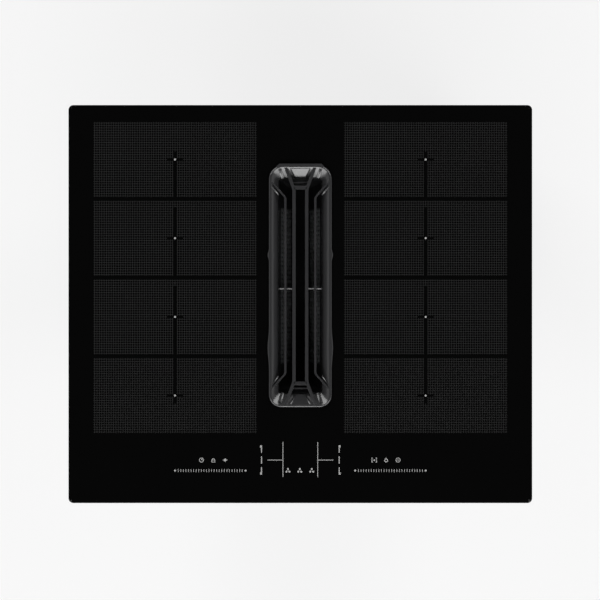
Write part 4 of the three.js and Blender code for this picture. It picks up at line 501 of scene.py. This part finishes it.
# Places on the glass in metres from its middle, x to the right and y to the back.
SLIDER_Y = -0.21535
SLIDER_INNER = 0.0718
SLIDER_TICKS = 28
SLIDER_PITCH = 0.00331
TICK_HEIGHT = 0.0036
TICK_WIDTH = 0.0007
END_SHIFT = 0.0009  # how far the round end marks stand out from the ticks' row
END_RADIUS = 0.72 * TICK_HEIGHT / 2
SYMBOL_Y = -0.2017
SYMBOL_SIZE = 0.0062
SYMBOLS = {"timer": -0.1279, "lock": -0.1125, "pause": -0.0973,
           "bridge": 0.0956, "keep_warm": 0.1109, "boost": 0.1263}
FAN_Y = -0.2156
FAN_PLACES = (-0.0160, -0.0007, 0.0148)
FAN_SIZE = 0.0074
# Reach and radius of a fan's blades and of the discs at its hub, as shares of its size.
BLADE_REACH, BLADE_RADIUS = 0.31, 0.17
HUB_REACH, HUB_RADIUS = 0.18, 0.08
HUB_TURN = 24.0
PANEL_X = 0.0225
PANEL_OUTER = 0.0425
PANEL_LOW, PANEL_HIGH = -0.2236, -0.1784
LEVEL_X = 0.0502
LEVEL_PLACES = (-0.1874, -0.2016, -0.2158)
LEVEL_LENGTH = 0.0095
# Half width of a level mark, and half length and width of its head, in strokes.
LEVEL_HALF, HEAD_HALF, HEAD_WIDTH = 0.75, 1.8, 1.6


def print_slider(bm, side, z0, z1):
    """A row of ticks with a round mark at each end."""
    low, high = SLIDER_Y - TICK_HEIGHT / 2, SLIDER_Y + TICK_HEIGHT / 2
    for i in range(SLIDER_TICKS):
        x = side * (SLIDER_INNER + i * SLIDER_PITCH)
        if i in (0, SLIDER_TICKS - 1):
            out = END_SHIFT if i else -END_SHIFT
            add_disc(bm, x + side * out, SLIDER_Y, END_RADIUS, z0, z1)
        else:
            add_bar(bm, x - TICK_WIDTH / 2, x + TICK_WIDTH / 2, low, high, z0, z1)


def print_symbols(bm, stroke, z0, z1):
    """Six simple key symbols, drawn in shares of their own radius."""
    y, r = SYMBOL_Y, SYMBOL_SIZE / 2
    # A ring with two hands.
    x = SYMBOLS["timer"]
    add_arc(bm, x, y, r - stroke / 2, stroke, z0, z1)
    add_bar(bm, x - stroke / 2, x + stroke / 2, y, y + r * 0.62, z0, z1)
    add_bar(bm, x + stroke / 2, x + r * 0.62, y, y + stroke, z0, z1)
    # A shackle over a box of four bars.
    x = SYMBOLS["lock"]
    add_arc(bm, x, y + r * 0.1, r * 0.5, stroke, z0, z1, 180.0, 12)
    for left, right, low, high in ((-0.8, 0.8, -0.12, 0.1), (-0.8, 0.8, -0.95, -0.72),
                                   (-0.8, -0.55, -0.72, -0.12), (0.55, 0.8, -0.72, -0.12)):
        add_bar(bm, x + left * r, x + right * r, y + low * r, y + high * r, z0, z1)
    # A lozenge between two dashes.
    x = SYMBOLS["pause"]
    bmesh.ops.create_cone(
        bm, cap_ends=True, cap_tris=False, segments=4, radius1=r * 0.75, radius2=r * 0.75,
        depth=z1 - z0, matrix=Matrix.Translation((x, y, (z0 + z1) / 2)))
    add_bar(bm, x - r, x - r * 0.75, y - stroke / 2, y + stroke / 2, z0, z1)
    add_bar(bm, x + r * 0.75, x + r, y - stroke / 2, y + stroke / 2, z0, z1)
    # Two square brackets round a dot.
    x = SYMBOLS["bridge"]
    for side in (-1, 1):
        edge = x + side * r * 1.1
        root = edge - side * stroke
        low, high = sorted((edge, root))
        add_bar(bm, low, high, y - r, y + r, z0, z1)
        low, high = sorted((edge - side * r * 0.55, root))
        for end in (-1, 1):
            level = y + end * (r - stroke / 2)
            add_bar(bm, low, high, level - stroke / 2, level + stroke / 2, z0, z1)
    add_disc(bm, x, y - r * 0.1, r * 0.36, z0, z1)
    # A bowl with a flame's tip over it.
    x = SYMBOLS["keep_warm"]
    add_arc(bm, x, y - r * 0.15, r * 0.62, stroke * 1.3, z0, z1)
    add_bar(bm, x - stroke / 2, x + stroke / 2, y + r * 0.6, y + r * 1.05, z0, z1)
    # A ring with a bar across it.
    x = SYMBOLS["boost"]
    add_arc(bm, x, y, r - stroke / 2, stroke, z0, z1)
    add_bar(bm, x - r * 0.45, x + r * 0.45, y - stroke / 2, y + stroke / 2, z0, z1)


def print_fans(bm, z0, z1):
    """Three fan symbols, each with three round blades. No two tops in one fan lie level."""
    for x in FAN_PLACES:
        for blade in range(3):
            turn = math.radians(90 + 120 * blade)
            reach = FAN_SIZE * BLADE_REACH
            top = z1 - (z1 - z0) * 0.1 * blade
            add_disc(bm, x + reach * math.cos(turn), FAN_Y + reach * math.sin(turn),
                     FAN_SIZE * BLADE_RADIUS, z0, top, 14)
            turn -= math.radians(HUB_TURN)
            reach = FAN_SIZE * HUB_REACH
            top = z1 - (z1 - z0) * (0.4 + 0.1 * blade)
            add_disc(bm, x + reach * math.cos(turn), FAN_Y + reach * math.sin(turn),
                     FAN_SIZE * HUB_RADIUS, z0, top, 10)


def print_panel(bm, stroke, z0, z1):
    """The two upright lines, their cross lines and the level marks beside them."""
    long, wide, head = LEVEL_LENGTH / 2, LEVEL_HALF * stroke, HEAD_HALF * stroke
    for side in (-1, 1):
        x = side * PANEL_X
        add_bar(bm, x - stroke / 2, x + stroke / 2, PANEL_LOW, PANEL_HIGH, z0, z1)
        low, high = sorted((x + side * stroke / 2, side * PANEL_OUTER))
        add_bar(bm, low, high, SYMBOL_Y - stroke / 2, SYMBOL_Y + stroke / 2, z0, z1)
        x = side * LEVEL_X
        # The top mark's head is at its upper end and the bottom mark's at its lower end.
        for y, end in zip(LEVEL_PLACES, (1, 0, -1)):
            add_bar(bm, x - wide, x + wide, y - long, y + long, z0, z1)
            if end:
                root, level = x + side * wide, y + (long - head) * end
                low, high = sorted((root, root + side * stroke * HEAD_WIDTH))
                add_bar(bm, low, high, level - head, level + head, z0, z1)


class COOKTOP_OT_touch_print(Operator):
    """Print the sliders, key symbols and panel lines"""

    bl_idname = "cooktop.touch_print"
    bl_label = "Touch controls"

    def execute(self, context):
        settings = context.scene.cooktop_print
        enamel = fired_enamel("mark_enamel", settings.mark_colour)
        z0, z1 = GLASS_TOP, GLASS_TOP + settings.thickness
        for side, name in ((-1, "left"), (1, "right")):
            bm = bmesh.new()
            print_slider(bm, side, z0, z1)
            finish_piece(bm, f"slider_{name}", enamel)
        for name, make in (("key_symbols", print_symbols), ("panel_lines", print_panel)):
            bm = bmesh.new()
            make(bm, settings.stroke, z0, z1)
            finish_piece(bm, name, enamel)
        bm = bmesh.new()
        print_fans(bm, z0, z1)
        finish_piece(bm, "fan_symbols", enamel)
        return {"FINISHED"}


# ------------------------------------------------------------------ inlet grille and filter

MM = 0.001
GRILLE_LOW, GRILLE_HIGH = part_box("vent_grille")
GRILLE_MIDDLE = (GRILLE_LOW.y + GRILLE_HIGH.y) / 2

# The grille's and the web's sizes are in millimetres from the grille's middle, heights from z = 0.
RIM_BACK, RIM_FRONT = 155.2, -157.3
RIM_FOOT = GLASS_TOP / MM
RIM_SHOULDER = RIM_FOOT + 1.4
BAR_TOP = GRILLE_HIGH.z / MM - 0.4
CORNER_STEPS = 9
# The funnel's section from its shoulder inwards: how far in, how far up, and where its ends come to lie.
FUNNEL_STEPS = (
    (0.35, 0.7, None), (0.65, 0.55, None), (1.0, 0.3, None), (1.1, 0.05, (152.85, -154.95)),
    (0.5, -0.25, (152.4, -154.5)), (8.4, -9.6, (140.7, -140.7)), (1.2, -13.15, (139.5, -139.5)))
# Low swells along the rim's sides: middle and length of each, their height, and the band that bulges.
SWELLS = ((39.5, 17.0), (-80.8, 56.0))
SWELL_HEIGHT = 1.7
SWELL_BAND = 3.6
SWELL_STEPS = 8
# The bars' centre lines from an end to the straight part, as (y, x).
MAIN_BAR_PATH = ((153.6, 19.2), (126.2, 8.95), (123.8, 8.35), (122.0, 8.2))
SIDE_BAR_PATH = ((135.0, 38.4), (116.4, 21.6), (114.6, 20.2), (113.0, 19.5), (111.0, 19.35))
# Ribs: length, width, underside, top at the inner and the outer end, turn in degrees, and place (x, y).
STEP_RIB = (13.3, 1.9, -1.0, 1.3, 8.85, 39.2, 28.0, 117.4)
CORNER_RIB = (12.6, 4.6, -4.0, 0.3, 8.2, 18.0, 22.7, 139.0)
# Bars from side to side, as (y, half width) of their two faces.
CROSS_BAR = ((124.1, 8.4), (128.9, 8.4))
TIE = ((131.8, 11.4), (134.2, 12.4))
TIE_UNDER, TIE_TOP = 0.5, 5.2
# The sloping pads: foot and head as (y, half width, underside, top), and how far the face stands out.
PADS = (((139.4, 7.4, -3.0, -0.5), (152.6, 14.6, 4.0, 8.5), 0.4),
        ((-140.6, 7.0, -3.0, 1.3), (-154.6, 14.0, 4.0, 8.3), 0.55))
PAD_FRAME = 1.8
# The lip at the back, as (y, half width, top) of its two faces.
LIP = ((153.2, 31.5, 8.6), (157.2, 27.2, 8.9))
# The basket's web, as (y, top) of its two faces, its reach from the middle, and where its floor ends.
WEB_FACES = ((-4.8, -18.3), (-3.4, -17.6))
WEB_INNER, WEB_OUTER, WEB_FOOT = 9.4, 29.3, 13.6
WEB_UNDER = -60.0


def stretch_ends(verts, ends):
    """Scale a ring along y until it reaches the given ends."""
    old_back, old_front = max(v.co.y for v in verts), min(v.co.y for v in verts)
    for vert in verts:
        share = (vert.co.y - old_front) / (old_back - old_front)
        vert.co.y = ends[1] + share * (ends[0] - ends[1])


def grille_funnel(settings):
    """Rim, sloping funnel and throat, as one moulded wall with swells along its sides."""
    bm = bmesh.new()
    half = settings.half_width / MM
    corners = bmesh.ops.create_grid(bm, x_segments=1, y_segments=1, size=1.0)["verts"]
    for vert in corners:
        end = RIM_BACK if vert.co.y > 0 else RIM_FRONT
        vert.co = (math.copysign(half, vert.co.x), end, RIM_SHOULDER)
    for radius, back in ((settings.corner_back, True), (settings.corner_front, False)):
        chosen = [v for v in bm.verts if abs(abs(v.co.x) - half) < 0.01 and (v.co.y > 0) == back]
        bmesh.ops.bevel(
            bm, geom=chosen, offset=radius / MM, offset_type="OFFSET", segments=CORNER_STEPS,
            profile=0.5, affect="VERTICES", material=-1)
    bm.faces.ensure_lookup_table()
    face = bm.faces[0]
    grown = bmesh.ops.extrude_edge_only(bm, edges=list(face.edges))["geom"]
    for part in grown:
        if isinstance(part, bmesh.types.BMVert):
            part.co.z = RIM_FOOT
    for inwards, upwards, ends in FUNNEL_STEPS:
        bmesh.ops.inset_region(
            bm, faces=[face], thickness=inwards, depth=upwards, use_boundary=True,
            use_even_offset=True)
        if ends:
            stretch_ends(face.verts, ends)
    bmesh.ops.delete(bm, geom=[face], context="FACES_ONLY")
    for middle, length in SWELLS:
        for step in range(SWELL_STEPS + 1):
            cut = middle + (step - SWELL_STEPS / 2) * length / SWELL_STEPS
            bmesh.ops.bisect_plane(
                bm, geom=bm.verts[:] + bm.edges[:] + bm.faces[:], dist=1e-4, plane_co=(0, cut, 0),
                plane_no=(0, 1, 0))
    for vert in bm.verts:
        out = (abs(vert.co.x) - half + SWELL_BAND) / SWELL_BAND
        for middle, length in SWELLS:
            along = abs(vert.co.y - middle) / (length / 2)
            if out > 0 and along < 1:
                rise = SWELL_HEIGHT * out * (1 + math.cos(math.pi * along)) / 2
                vert.co.x += math.copysign(rise, vert.co.x)
    bmesh.ops.recalc_face_normals(bm, faces=bm.faces)
    bmesh.ops.solidify(bm, geom=bm.faces[:], thickness=settings.wall / MM)
    return bm


def add_bent_bar(bm, path, half, side, under):
    """A long bar whose ends both follow the path, the same at front and back."""
    route = [(-y, x) for y, x in path] + [(y, x) for y, x in reversed(path)]
    add_run(bm, *((y, side * x - half, side * x + half, under, BAR_TOP) for y, x in route))


def add_rib(bm, rib, side, end):
    """A short rib that climbs along its length, turned about z and moved into one quarter."""
    length, width, under, inner_top, outer_top, turn, x, y = rib
    half = width / 2
    verts = add_run(bm, (0, -half, half, under, inner_top), (length, -half, half, under, outer_top))
    turned = Matrix.Rotation(math.radians(-turn), 3, "Z")
    bmesh.ops.rotate(bm, verts=verts, cent=(0, 0, 0), matrix=turned)
    bmesh.ops.translate(bm, verts=verts, vec=(x, y, 0))
    bmesh.ops.scale(bm, verts=verts, vec=(side, end, 1))


def grille_bars(settings):
    """Main bars, side bars, ribs, cross bars and ties, with their edges rounded."""
    bm = bmesh.new()
    under = BAR_TOP - settings.bar_depth / MM
    for side in (-1, 1):
        add_bent_bar(bm, MAIN_BAR_PATH, settings.main_bar / MM / 2, side, under)
        add_bent_bar(bm, SIDE_BAR_PATH, settings.side_bar / MM / 2, side, under)
        for end in (-1, 1):
            add_rib(bm, STEP_RIB, side, end)
            add_rib(bm, CORNER_RIB, side, end)
    for end in (-1, 1):
        add_run(bm, *sorted((end * y, -half, half, under, BAR_TOP) for y, half in CROSS_BAR))
        add_run(bm, *sorted((end * y, -half, half, TIE_UNDER, TIE_TOP) for y, half in TIE))
    edges = [e for e in bm.edges if e.calc_face_angle(0.0) > math.radians(EASED_FROM)]
    bmesh.ops.bevel(
        bm, geom=edges, offset=settings.edge / MM, offset_type="OFFSET", segments=2, profile=0.5,
        affect="EDGES", material=-1)
    return bm


def grille_pads():
    """The sloping pads in front of and behind the throat, and the lip at the back."""
    bm = bmesh.new()
    for foot, head, raised in PADS:
        ends = sorted((y, -half, half, under, top) for y, half, under, top in (foot, head))
        made = add_run(bm, *ends)
        bm.normal_update()
        face = max((f for f in bm.faces if f.verts[0] in made), key=lambda f: f.normal.z)
        bmesh.ops.inset_region(
            bm, faces=[face], thickness=PAD_FRAME, depth=raised, use_boundary=True,
            use_even_offset=True)
    # The chamfers round the pads stay crisp.
    for edge in bm.edges:
        edge.smooth = False
    add_run(bm, *((y, -half, half, RIM_FOOT, top) for y, half, top in LIP))
    return bm


def join_meshes(bm, *parts):
    """Take other meshes into the first one."""
    for part in parts:
        mesh = bpy.data.meshes.new("part")
        part.to_mesh(mesh)
        part.free()
        bm.from_mesh(mesh)
        bpy.data.meshes.remove(mesh)


def move_into_place(bm):
    """From millimetres round the grille's middle to metres in the frame."""
    bmesh.ops.scale(bm, verts=bm.verts, vec=(MM, MM, MM))
    bmesh.ops.translate(bm, verts=bm.verts, vec=(0, GRILLE_MIDDLE, 0))


HOLE_CORNER = 0.29  # how much of a hole's width each of its corners is cut back


def filter_panel(settings, side, material):
    """One perforated panel of the basket, leaning along the node that it replaces."""
    node = "filter_mesh_left" if side < 0 else "filter_mesh_right"
    low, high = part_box(node)
    rise, run = high.z - low.z, high.x - low.x
    length = math.hypot(rise, run)
    deep = round((high.y - low.y) / settings.hole_pitch)
    wide = round(length / settings.hole_pitch)
    bm = bmesh.new()
    bmesh.ops.create_grid(bm, x_segments=wide, y_segments=deep, size=0.5)
    bmesh.ops.scale(bm, verts=bm.verts, vec=(length, high.y - low.y, 1))
    rim = (settings.hole_pitch - settings.hole) / 2
    cells = bmesh.ops.inset_individual(bm, faces=bm.faces[:], thickness=rim, use_even_offset=True)
    holes = [f for f in bm.faces if f not in set(cells["faces"])]
    bmesh.ops.bevel(
        bm, geom=[v for f in holes for v in f.verts], offset=settings.hole * HOLE_CORNER,
        offset_type="OFFSET", segments=1, profile=0.5, affect="VERTICES", material=-1)
    # Each hole is now an octagon, smaller than the square that it was cut from.
    limit = settings.hole ** 2 * 0.95
    holes = [f for f in bm.faces if len(f.verts) == 8 and f.calc_area() < limit]
    bmesh.ops.delete(bm, geom=holes, context="FACES_ONLY")
    bmesh.ops.recalc_face_normals(bm, faces=bm.faces)
    bmesh.ops.solidify(bm, geom=bm.faces[:], thickness=settings.sheet)
    lean = math.atan2(rise, side * run)
    bmesh.ops.rotate(bm, verts=bm.verts, cent=(0, 0, 0), matrix=Matrix.Rotation(-lean, 3, "Y"))
    bmesh.ops.translate(bm, verts=bm.verts, vec=(low + high) / 2)
    piece = finish_piece(bm, node.replace("mesh", "panel"), material, "filter")
    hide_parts(node)


def filter_divider(material):
    """The web that stands across each half of the basket, from its floor to its mouth."""
    bm = bmesh.new()
    for side in (-1, 1):
        left, right = sorted((side * WEB_INNER, side * WEB_OUTER))
        made = add_run(bm, *((y, left, right, WEB_UNDER, top) for y, top in WEB_FACES))
        for vert in made:
            if vert.co.z < WEB_UNDER / 2 and abs(vert.co.x) > WEB_FOOT:
                vert.co.x = side * WEB_FOOT
    move_into_place(bm)
    finish_piece(bm, "basket_divider", material, "filter")


# ------------------------------------------------------------------ finishes of the built pieces

HOUSING_EDGE = 0.0006  # rounding of the moulded housings' edges
COVER_EDGE = 0.0005  # and of the small covers'


class COOKTOP_OT_glass(Operator):
    """Finish the glass and its foam seals"""

    bl_idname = "cooktop.glass"
    bl_label = "Glass and seals"

    def execute(self, context):
        dress(black_glass_ceramic(context.scene.cooktop_finish), "glass_top")
        dress(closed_cell_foam(), "worktop_seal", "shaft_gasket")
        return {"FINISHED"}


class COOKTOP_OT_inlet(Operator):
    """Finish the inlet grille, the grease filter and the shaft"""

    bl_idname = "cooktop.inlet"
    bl_label = "Inlet grille and filter"

    def execute(self, context):
        colours = context.scene.cooktop_finish
        sizes = context.scene.cooktop_grille
        gloss = satin_black_plastic("grille_nylon", colours.grille, (0.2, 0.26))
        bm = grille_funnel(sizes)
        join_meshes(bm, grille_bars(sizes), grille_pads())
        move_into_place(bm)
        grille = finish_piece(bm, "inlet_grille", gloss, "grille")
        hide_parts("vent_grille")
        # The filter frame's nylon is near black, darker than the grille's. This is partly its own colour
        # and partly painted shade, so that the deep slots between the bars come out as dark as their
        # shade.
        dress(satin_black_plastic("filter_nylon_painted_shade", linear("0C0C0D")), "filter_frame")
        aluminium = rolled_aluminium("filter_aluminium", linear("A4A6A7"), rough=(0.45, 0.55))
        for side in (-1, 1):
            filter_panel(sizes, side, aluminium)
        filter_divider(satin_black_plastic("divider_nylon", colours.grille, (0.2, 0.26)))
        dress(satin_black_plastic("shaft_nylon", colours.grey, (0.45, 0.55)), "inlet_shaft")
        return {"FINISHED"}


class COOKTOP_OT_induction(Operator):
    """Finish the tray, coils and electronics"""

    bl_idname = "cooktop.induction"
    bl_label = "Tray, coils and electronics"

    def execute(self, context):
        colours = context.scene.cooktop_finish
        dress(zinc_coated_steel("tray_zinc", colours.zinc), "hob_tray")
        copper = litz_copper()
        mica = pressed_mica()
        aluminium = rolled_aluminium("carrier_aluminium", linear("C4C7C9"))
        laminate = circuit_laminate()
        fans = satin_black_plastic("cooler_pbt", colours.housing)
        for side in ("left", "right"):
            dress(copper, *(f"coil_{side}_{row + 1}" for row in range(ROWS)))
            dress(mica, f"insulation_{side}")
            dress(aluminium, f"coil_carrier_{side}", f"heatsink_{side}")
            dress(laminate, f"power_board_{side}")
            dress(fans, f"cooling_fan_frame_{side}", f"cooling_rotor_{side}")
        dress(laminate, "control_board")
        dress(white_polyester(), "control_carrier", "terminal_block")
        return {"FINISHED"}


class COOKTOP_OT_extractor(Operator):
    """Finish the extractor housing, fan, tank and duct"""

    bl_idname = "cooktop.extractor"
    bl_label = "Extractor"

    def execute(self, context):
        colours = context.scene.cooktop_finish
        black = satin_black_plastic("housing_polypropylene", colours.housing, (0.42, 0.52))
        grey = satin_black_plastic("grey_polypropylene", colours.grey, (0.42, 0.54))
        steel = drawn_steel("motor_steel", "8D9296")
        ease(black, HOUSING_EDGE, "suction_box", "fan_scroll", "discharge_duct", "air_box_cover")
        ease(grey, HOUSING_EDGE, "duct_spigot", "overflow_tank")
        dress(grey, "inlet_plate", "impeller_disc", "impeller_cage")
        dress(steel, "motor_shaft", "impeller_nut", "fan_motor")
        dress(silicone_rubber(), "tank_seal")
        return {"FINISHED"}


class COOKTOP_OT_mains(Operator):
    """Finish the mains connection, the fan's control box and the clamps"""

    bl_idname = "cooktop.mains"
    bl_label = "Mains connection and clamps"

    def execute(self, context):
        colours = context.scene.cooktop_finish
        grey = satin_black_plastic("cover_abs", colours.grey, (0.45, 0.55))
        ease(grey, COVER_EDGE, "terminal_cover", "fan_control_box")
        dress(satin_black_plastic("gland_nylon", colours.housing), "cable_gland")
        zinc = zinc_coated_steel("clamp_zinc", colours.zinc)
        for place in ("left_front", "left_back", "right_front", "right_back"):
            dress(zinc, f"clamp_bracket_{place}", f"clamp_screw_{place}")
        return {"FINISHED"}


# ------------------------------------------------------------------ stage

PAPER_GLOW = 0.8  # how much of the backdrop that the camera sees is its own light
FLOOR_HALF = 5.0
FLOOR_GAP = 0.0005  # under the lowest point of the extractor
CAMERA_X, CAMERA_Y = -0.00043, 0.00524
SENSOR = 36.0
# Each lamp's bearing from the front, its width and its share of the power. The quarters left open at the
# sides and the back are what the glass's ground edges mirror, so they stay dark.
LAMPS = (("front", 0.0, 2.6, 1.3), ("front_left", -42.0, 2.8, 1.15), ("front_right", 42.0, 2.8, 1.15),
         ("back_left", -138.0, 2.8, 1.15), ("back_right", 138.0, 2.8, 1.15))
LAMP_REACH = 4.2
LAMP_HEIGHT = 2.4
LAMP_TALL = 1.5
# The sky is pale up to one height over the horizon and dark from the other, both given as their sine.
SKY_PALE, SKY_DARK = 0.2, 0.62
SKY_STRENGTH = 0.8


def studio_paper(colour):
    # Matt studio paper: even and pale. The camera and mirrors see it mostly lit from within, so the
    # backdrop stays pale while the cooktop's own shadow still falls on it.
    paper = surface("studio_paper", tone(colour, 0.995), colour, (0.9, 0.95), depth_mm=0.0)
    tree = paper.node_tree
    shader = tree.nodes["Principled BSDF"]
    rays = add_node(tree, "ShaderNodeLightPath")
    seen = add_node(tree, "ShaderNodeMath", {"operation": "MAXIMUM"}, {
        0: rays.outputs["Is Camera Ray"], 1: rays.outputs["Is Glossy Ray"]})
    passed = add_node(tree, "ShaderNodeMath", {"operation": "MAXIMUM"}, {
        0: seen.outputs["Value"], 1: rays.outputs["Is Transmission Ray"]})
    share = add_node(tree, "ShaderNodeMath", {"operation": "MULTIPLY"}, {
        0: passed.outputs["Value"], 1: PAPER_GLOW})
    glow = add_node(tree, "ShaderNodeEmission", inputs={"Color": colour})
    mixed = add_node(tree, "ShaderNodeMixShader", inputs={
        "Fac": share.outputs["Value"], 1: shader.outputs["BSDF"], 2: glow.outputs["Emission"]})
    tree.links.new(mixed.outputs["Shader"], tree.nodes["Material Output"].inputs["Surface"])
    return paper


def lay_floor(scene, colour):
    """A wide sheet of paper under the cooktop."""
    place = Matrix.Translation((0, 0, CAD_BOX[0][2] - FLOOR_GAP))
    bm = bmesh.new()
    bmesh.ops.create_grid(bm, x_segments=1, y_segments=1, size=FLOOR_HALF, matrix=place)
    mesh = bpy.data.meshes.new("floor")
    bm.to_mesh(mesh)
    bm.free()
    mesh.materials.append(studio_paper(colour))
    floor = bpy.data.objects.new("floor", mesh)
    scene.collection.objects.link(floor)


def hang_lamps(scene, power):
    """Large lamps round the cooktop, all turned to it."""
    for name, bearing, width, share in LAMPS:
        lamp = bpy.data.lights.new(f"lamp_{name}", "AREA")
        lamp.shape = "RECTANGLE"
        lamp.size = width
        lamp.size_y = LAMP_TALL
        lamp.energy = power * share
        holder = bpy.data.objects.new(f"lamp_{name}", lamp)
        turn = math.radians(bearing)
        holder.location = (LAMP_REACH * math.sin(turn), -LAMP_REACH * math.cos(turn), LAMP_HEIGHT)
        holder.rotation_euler = (-holder.location).to_track_quat("-Z", "Y").to_euler()
        scene.collection.objects.link(holder)


def light_sky(scene):
    """A sky that is pale at the horizon and dark overhead, so that the polished glass stays black."""
    world = bpy.data.worlds.new("studio")
    world.use_nodes = True
    tree = world.node_tree
    background = tree.nodes["Background"]
    place = add_node(tree, "ShaderNodeTexCoord")
    parts = add_node(tree, "ShaderNodeSeparateXYZ", inputs={"Vector": place.outputs["Generated"]})
    height = add_node(tree, "ShaderNodeMapRange", inputs={
        "Value": parts.outputs["Z"], "From Min": SKY_PALE, "From Max": SKY_DARK,
        "To Min": SKY_STRENGTH, "To Max": 0.0})
    tree.links.new(height.outputs["Result"], background.inputs["Strength"])
    background.inputs["Color"].default_value = (1.0, 1.0, 1.0, 1.0)
    scene.world = world


def set_camera(scene, settings):
    """A camera straight over the glass."""
    lens = bpy.data.cameras.new("camera")
    lens.lens = settings.lens
    lens.sensor_width = SENSOR
    camera = bpy.data.objects.new("camera", lens)
    camera.location = (CAMERA_X, CAMERA_Y, GLASS_TOP + settings.camera_height)
    scene.collection.objects.link(camera)
    scene.camera = camera


class COOKTOP_OT_stage(Operator):
    """Make the floor, the lamps, the world and the camera"""

    bl_idname = "cooktop.stage"
    bl_label = "Stage"

    def execute(self, context):
        scene = context.scene
        settings = scene.cooktop_stage
        lay_floor(scene, settings.floor)
        hang_lamps(scene, settings.lamp)
        light_sky(scene)
        set_camera(scene, settings)
        scene.view_settings.view_transform = "Standard"
        return {"FINISHED"}


GROUPS = {"cooktop_print": PrintSettings, "cooktop_grille": GrilleSettings,
          "cooktop_finish": FinishSettings, "cooktop_stage": StageSettings}
OPERATORS = (
    COOKTOP_OT_glass, COOKTOP_OT_zone_print, COOKTOP_OT_touch_print, COOKTOP_OT_inlet,
    COOKTOP_OT_induction, COOKTOP_OT_extractor, COOKTOP_OT_mains, COOKTOP_OT_stage)


class COOKTOP_PT_panel(Panel):
    """Lists the cooktop's pieces, sizes and colours"""

    bl_label = "Cooktop"
    bl_space_type = "VIEW_3D"
    bl_region_type = "UI"
    bl_category = "Cooktop"

    def draw(self, context):
        for group in (getattr(context.scene, name) for name in GROUPS):
            box = self.layout.box()
            for name in group.bl_rna.properties.keys():
                if name not in ("rna_type", "name"):
                    box.prop(group, name)
        for operator in OPERATORS:
            self.layout.operator(operator.bl_idname)


def register():
    """Register the classes and hang the settings on the scene."""
    for cls in (*GROUPS.values(), *OPERATORS, COOKTOP_PT_panel):
        bpy.utils.register_class(cls)
    for name, group in GROUPS.items():
        setattr(bpy.types.Scene, name, PointerProperty(type=group))


def unregister():
    """Take the settings and the classes away again."""
    for name in GROUPS:
        delattr(bpy.types.Scene, name)
    for cls in (COOKTOP_PT_panel, *reversed(OPERATORS), *reversed(GROUPS.values())):
        bpy.utils.unregister_class(cls)


def main():
    """Make every piece and the stage."""
    register()
    for operator in OPERATORS:
        group, name = operator.bl_idname.split(".")
        getattr(getattr(bpy.ops, group), name)()


if __name__ == "__main__":
    main()
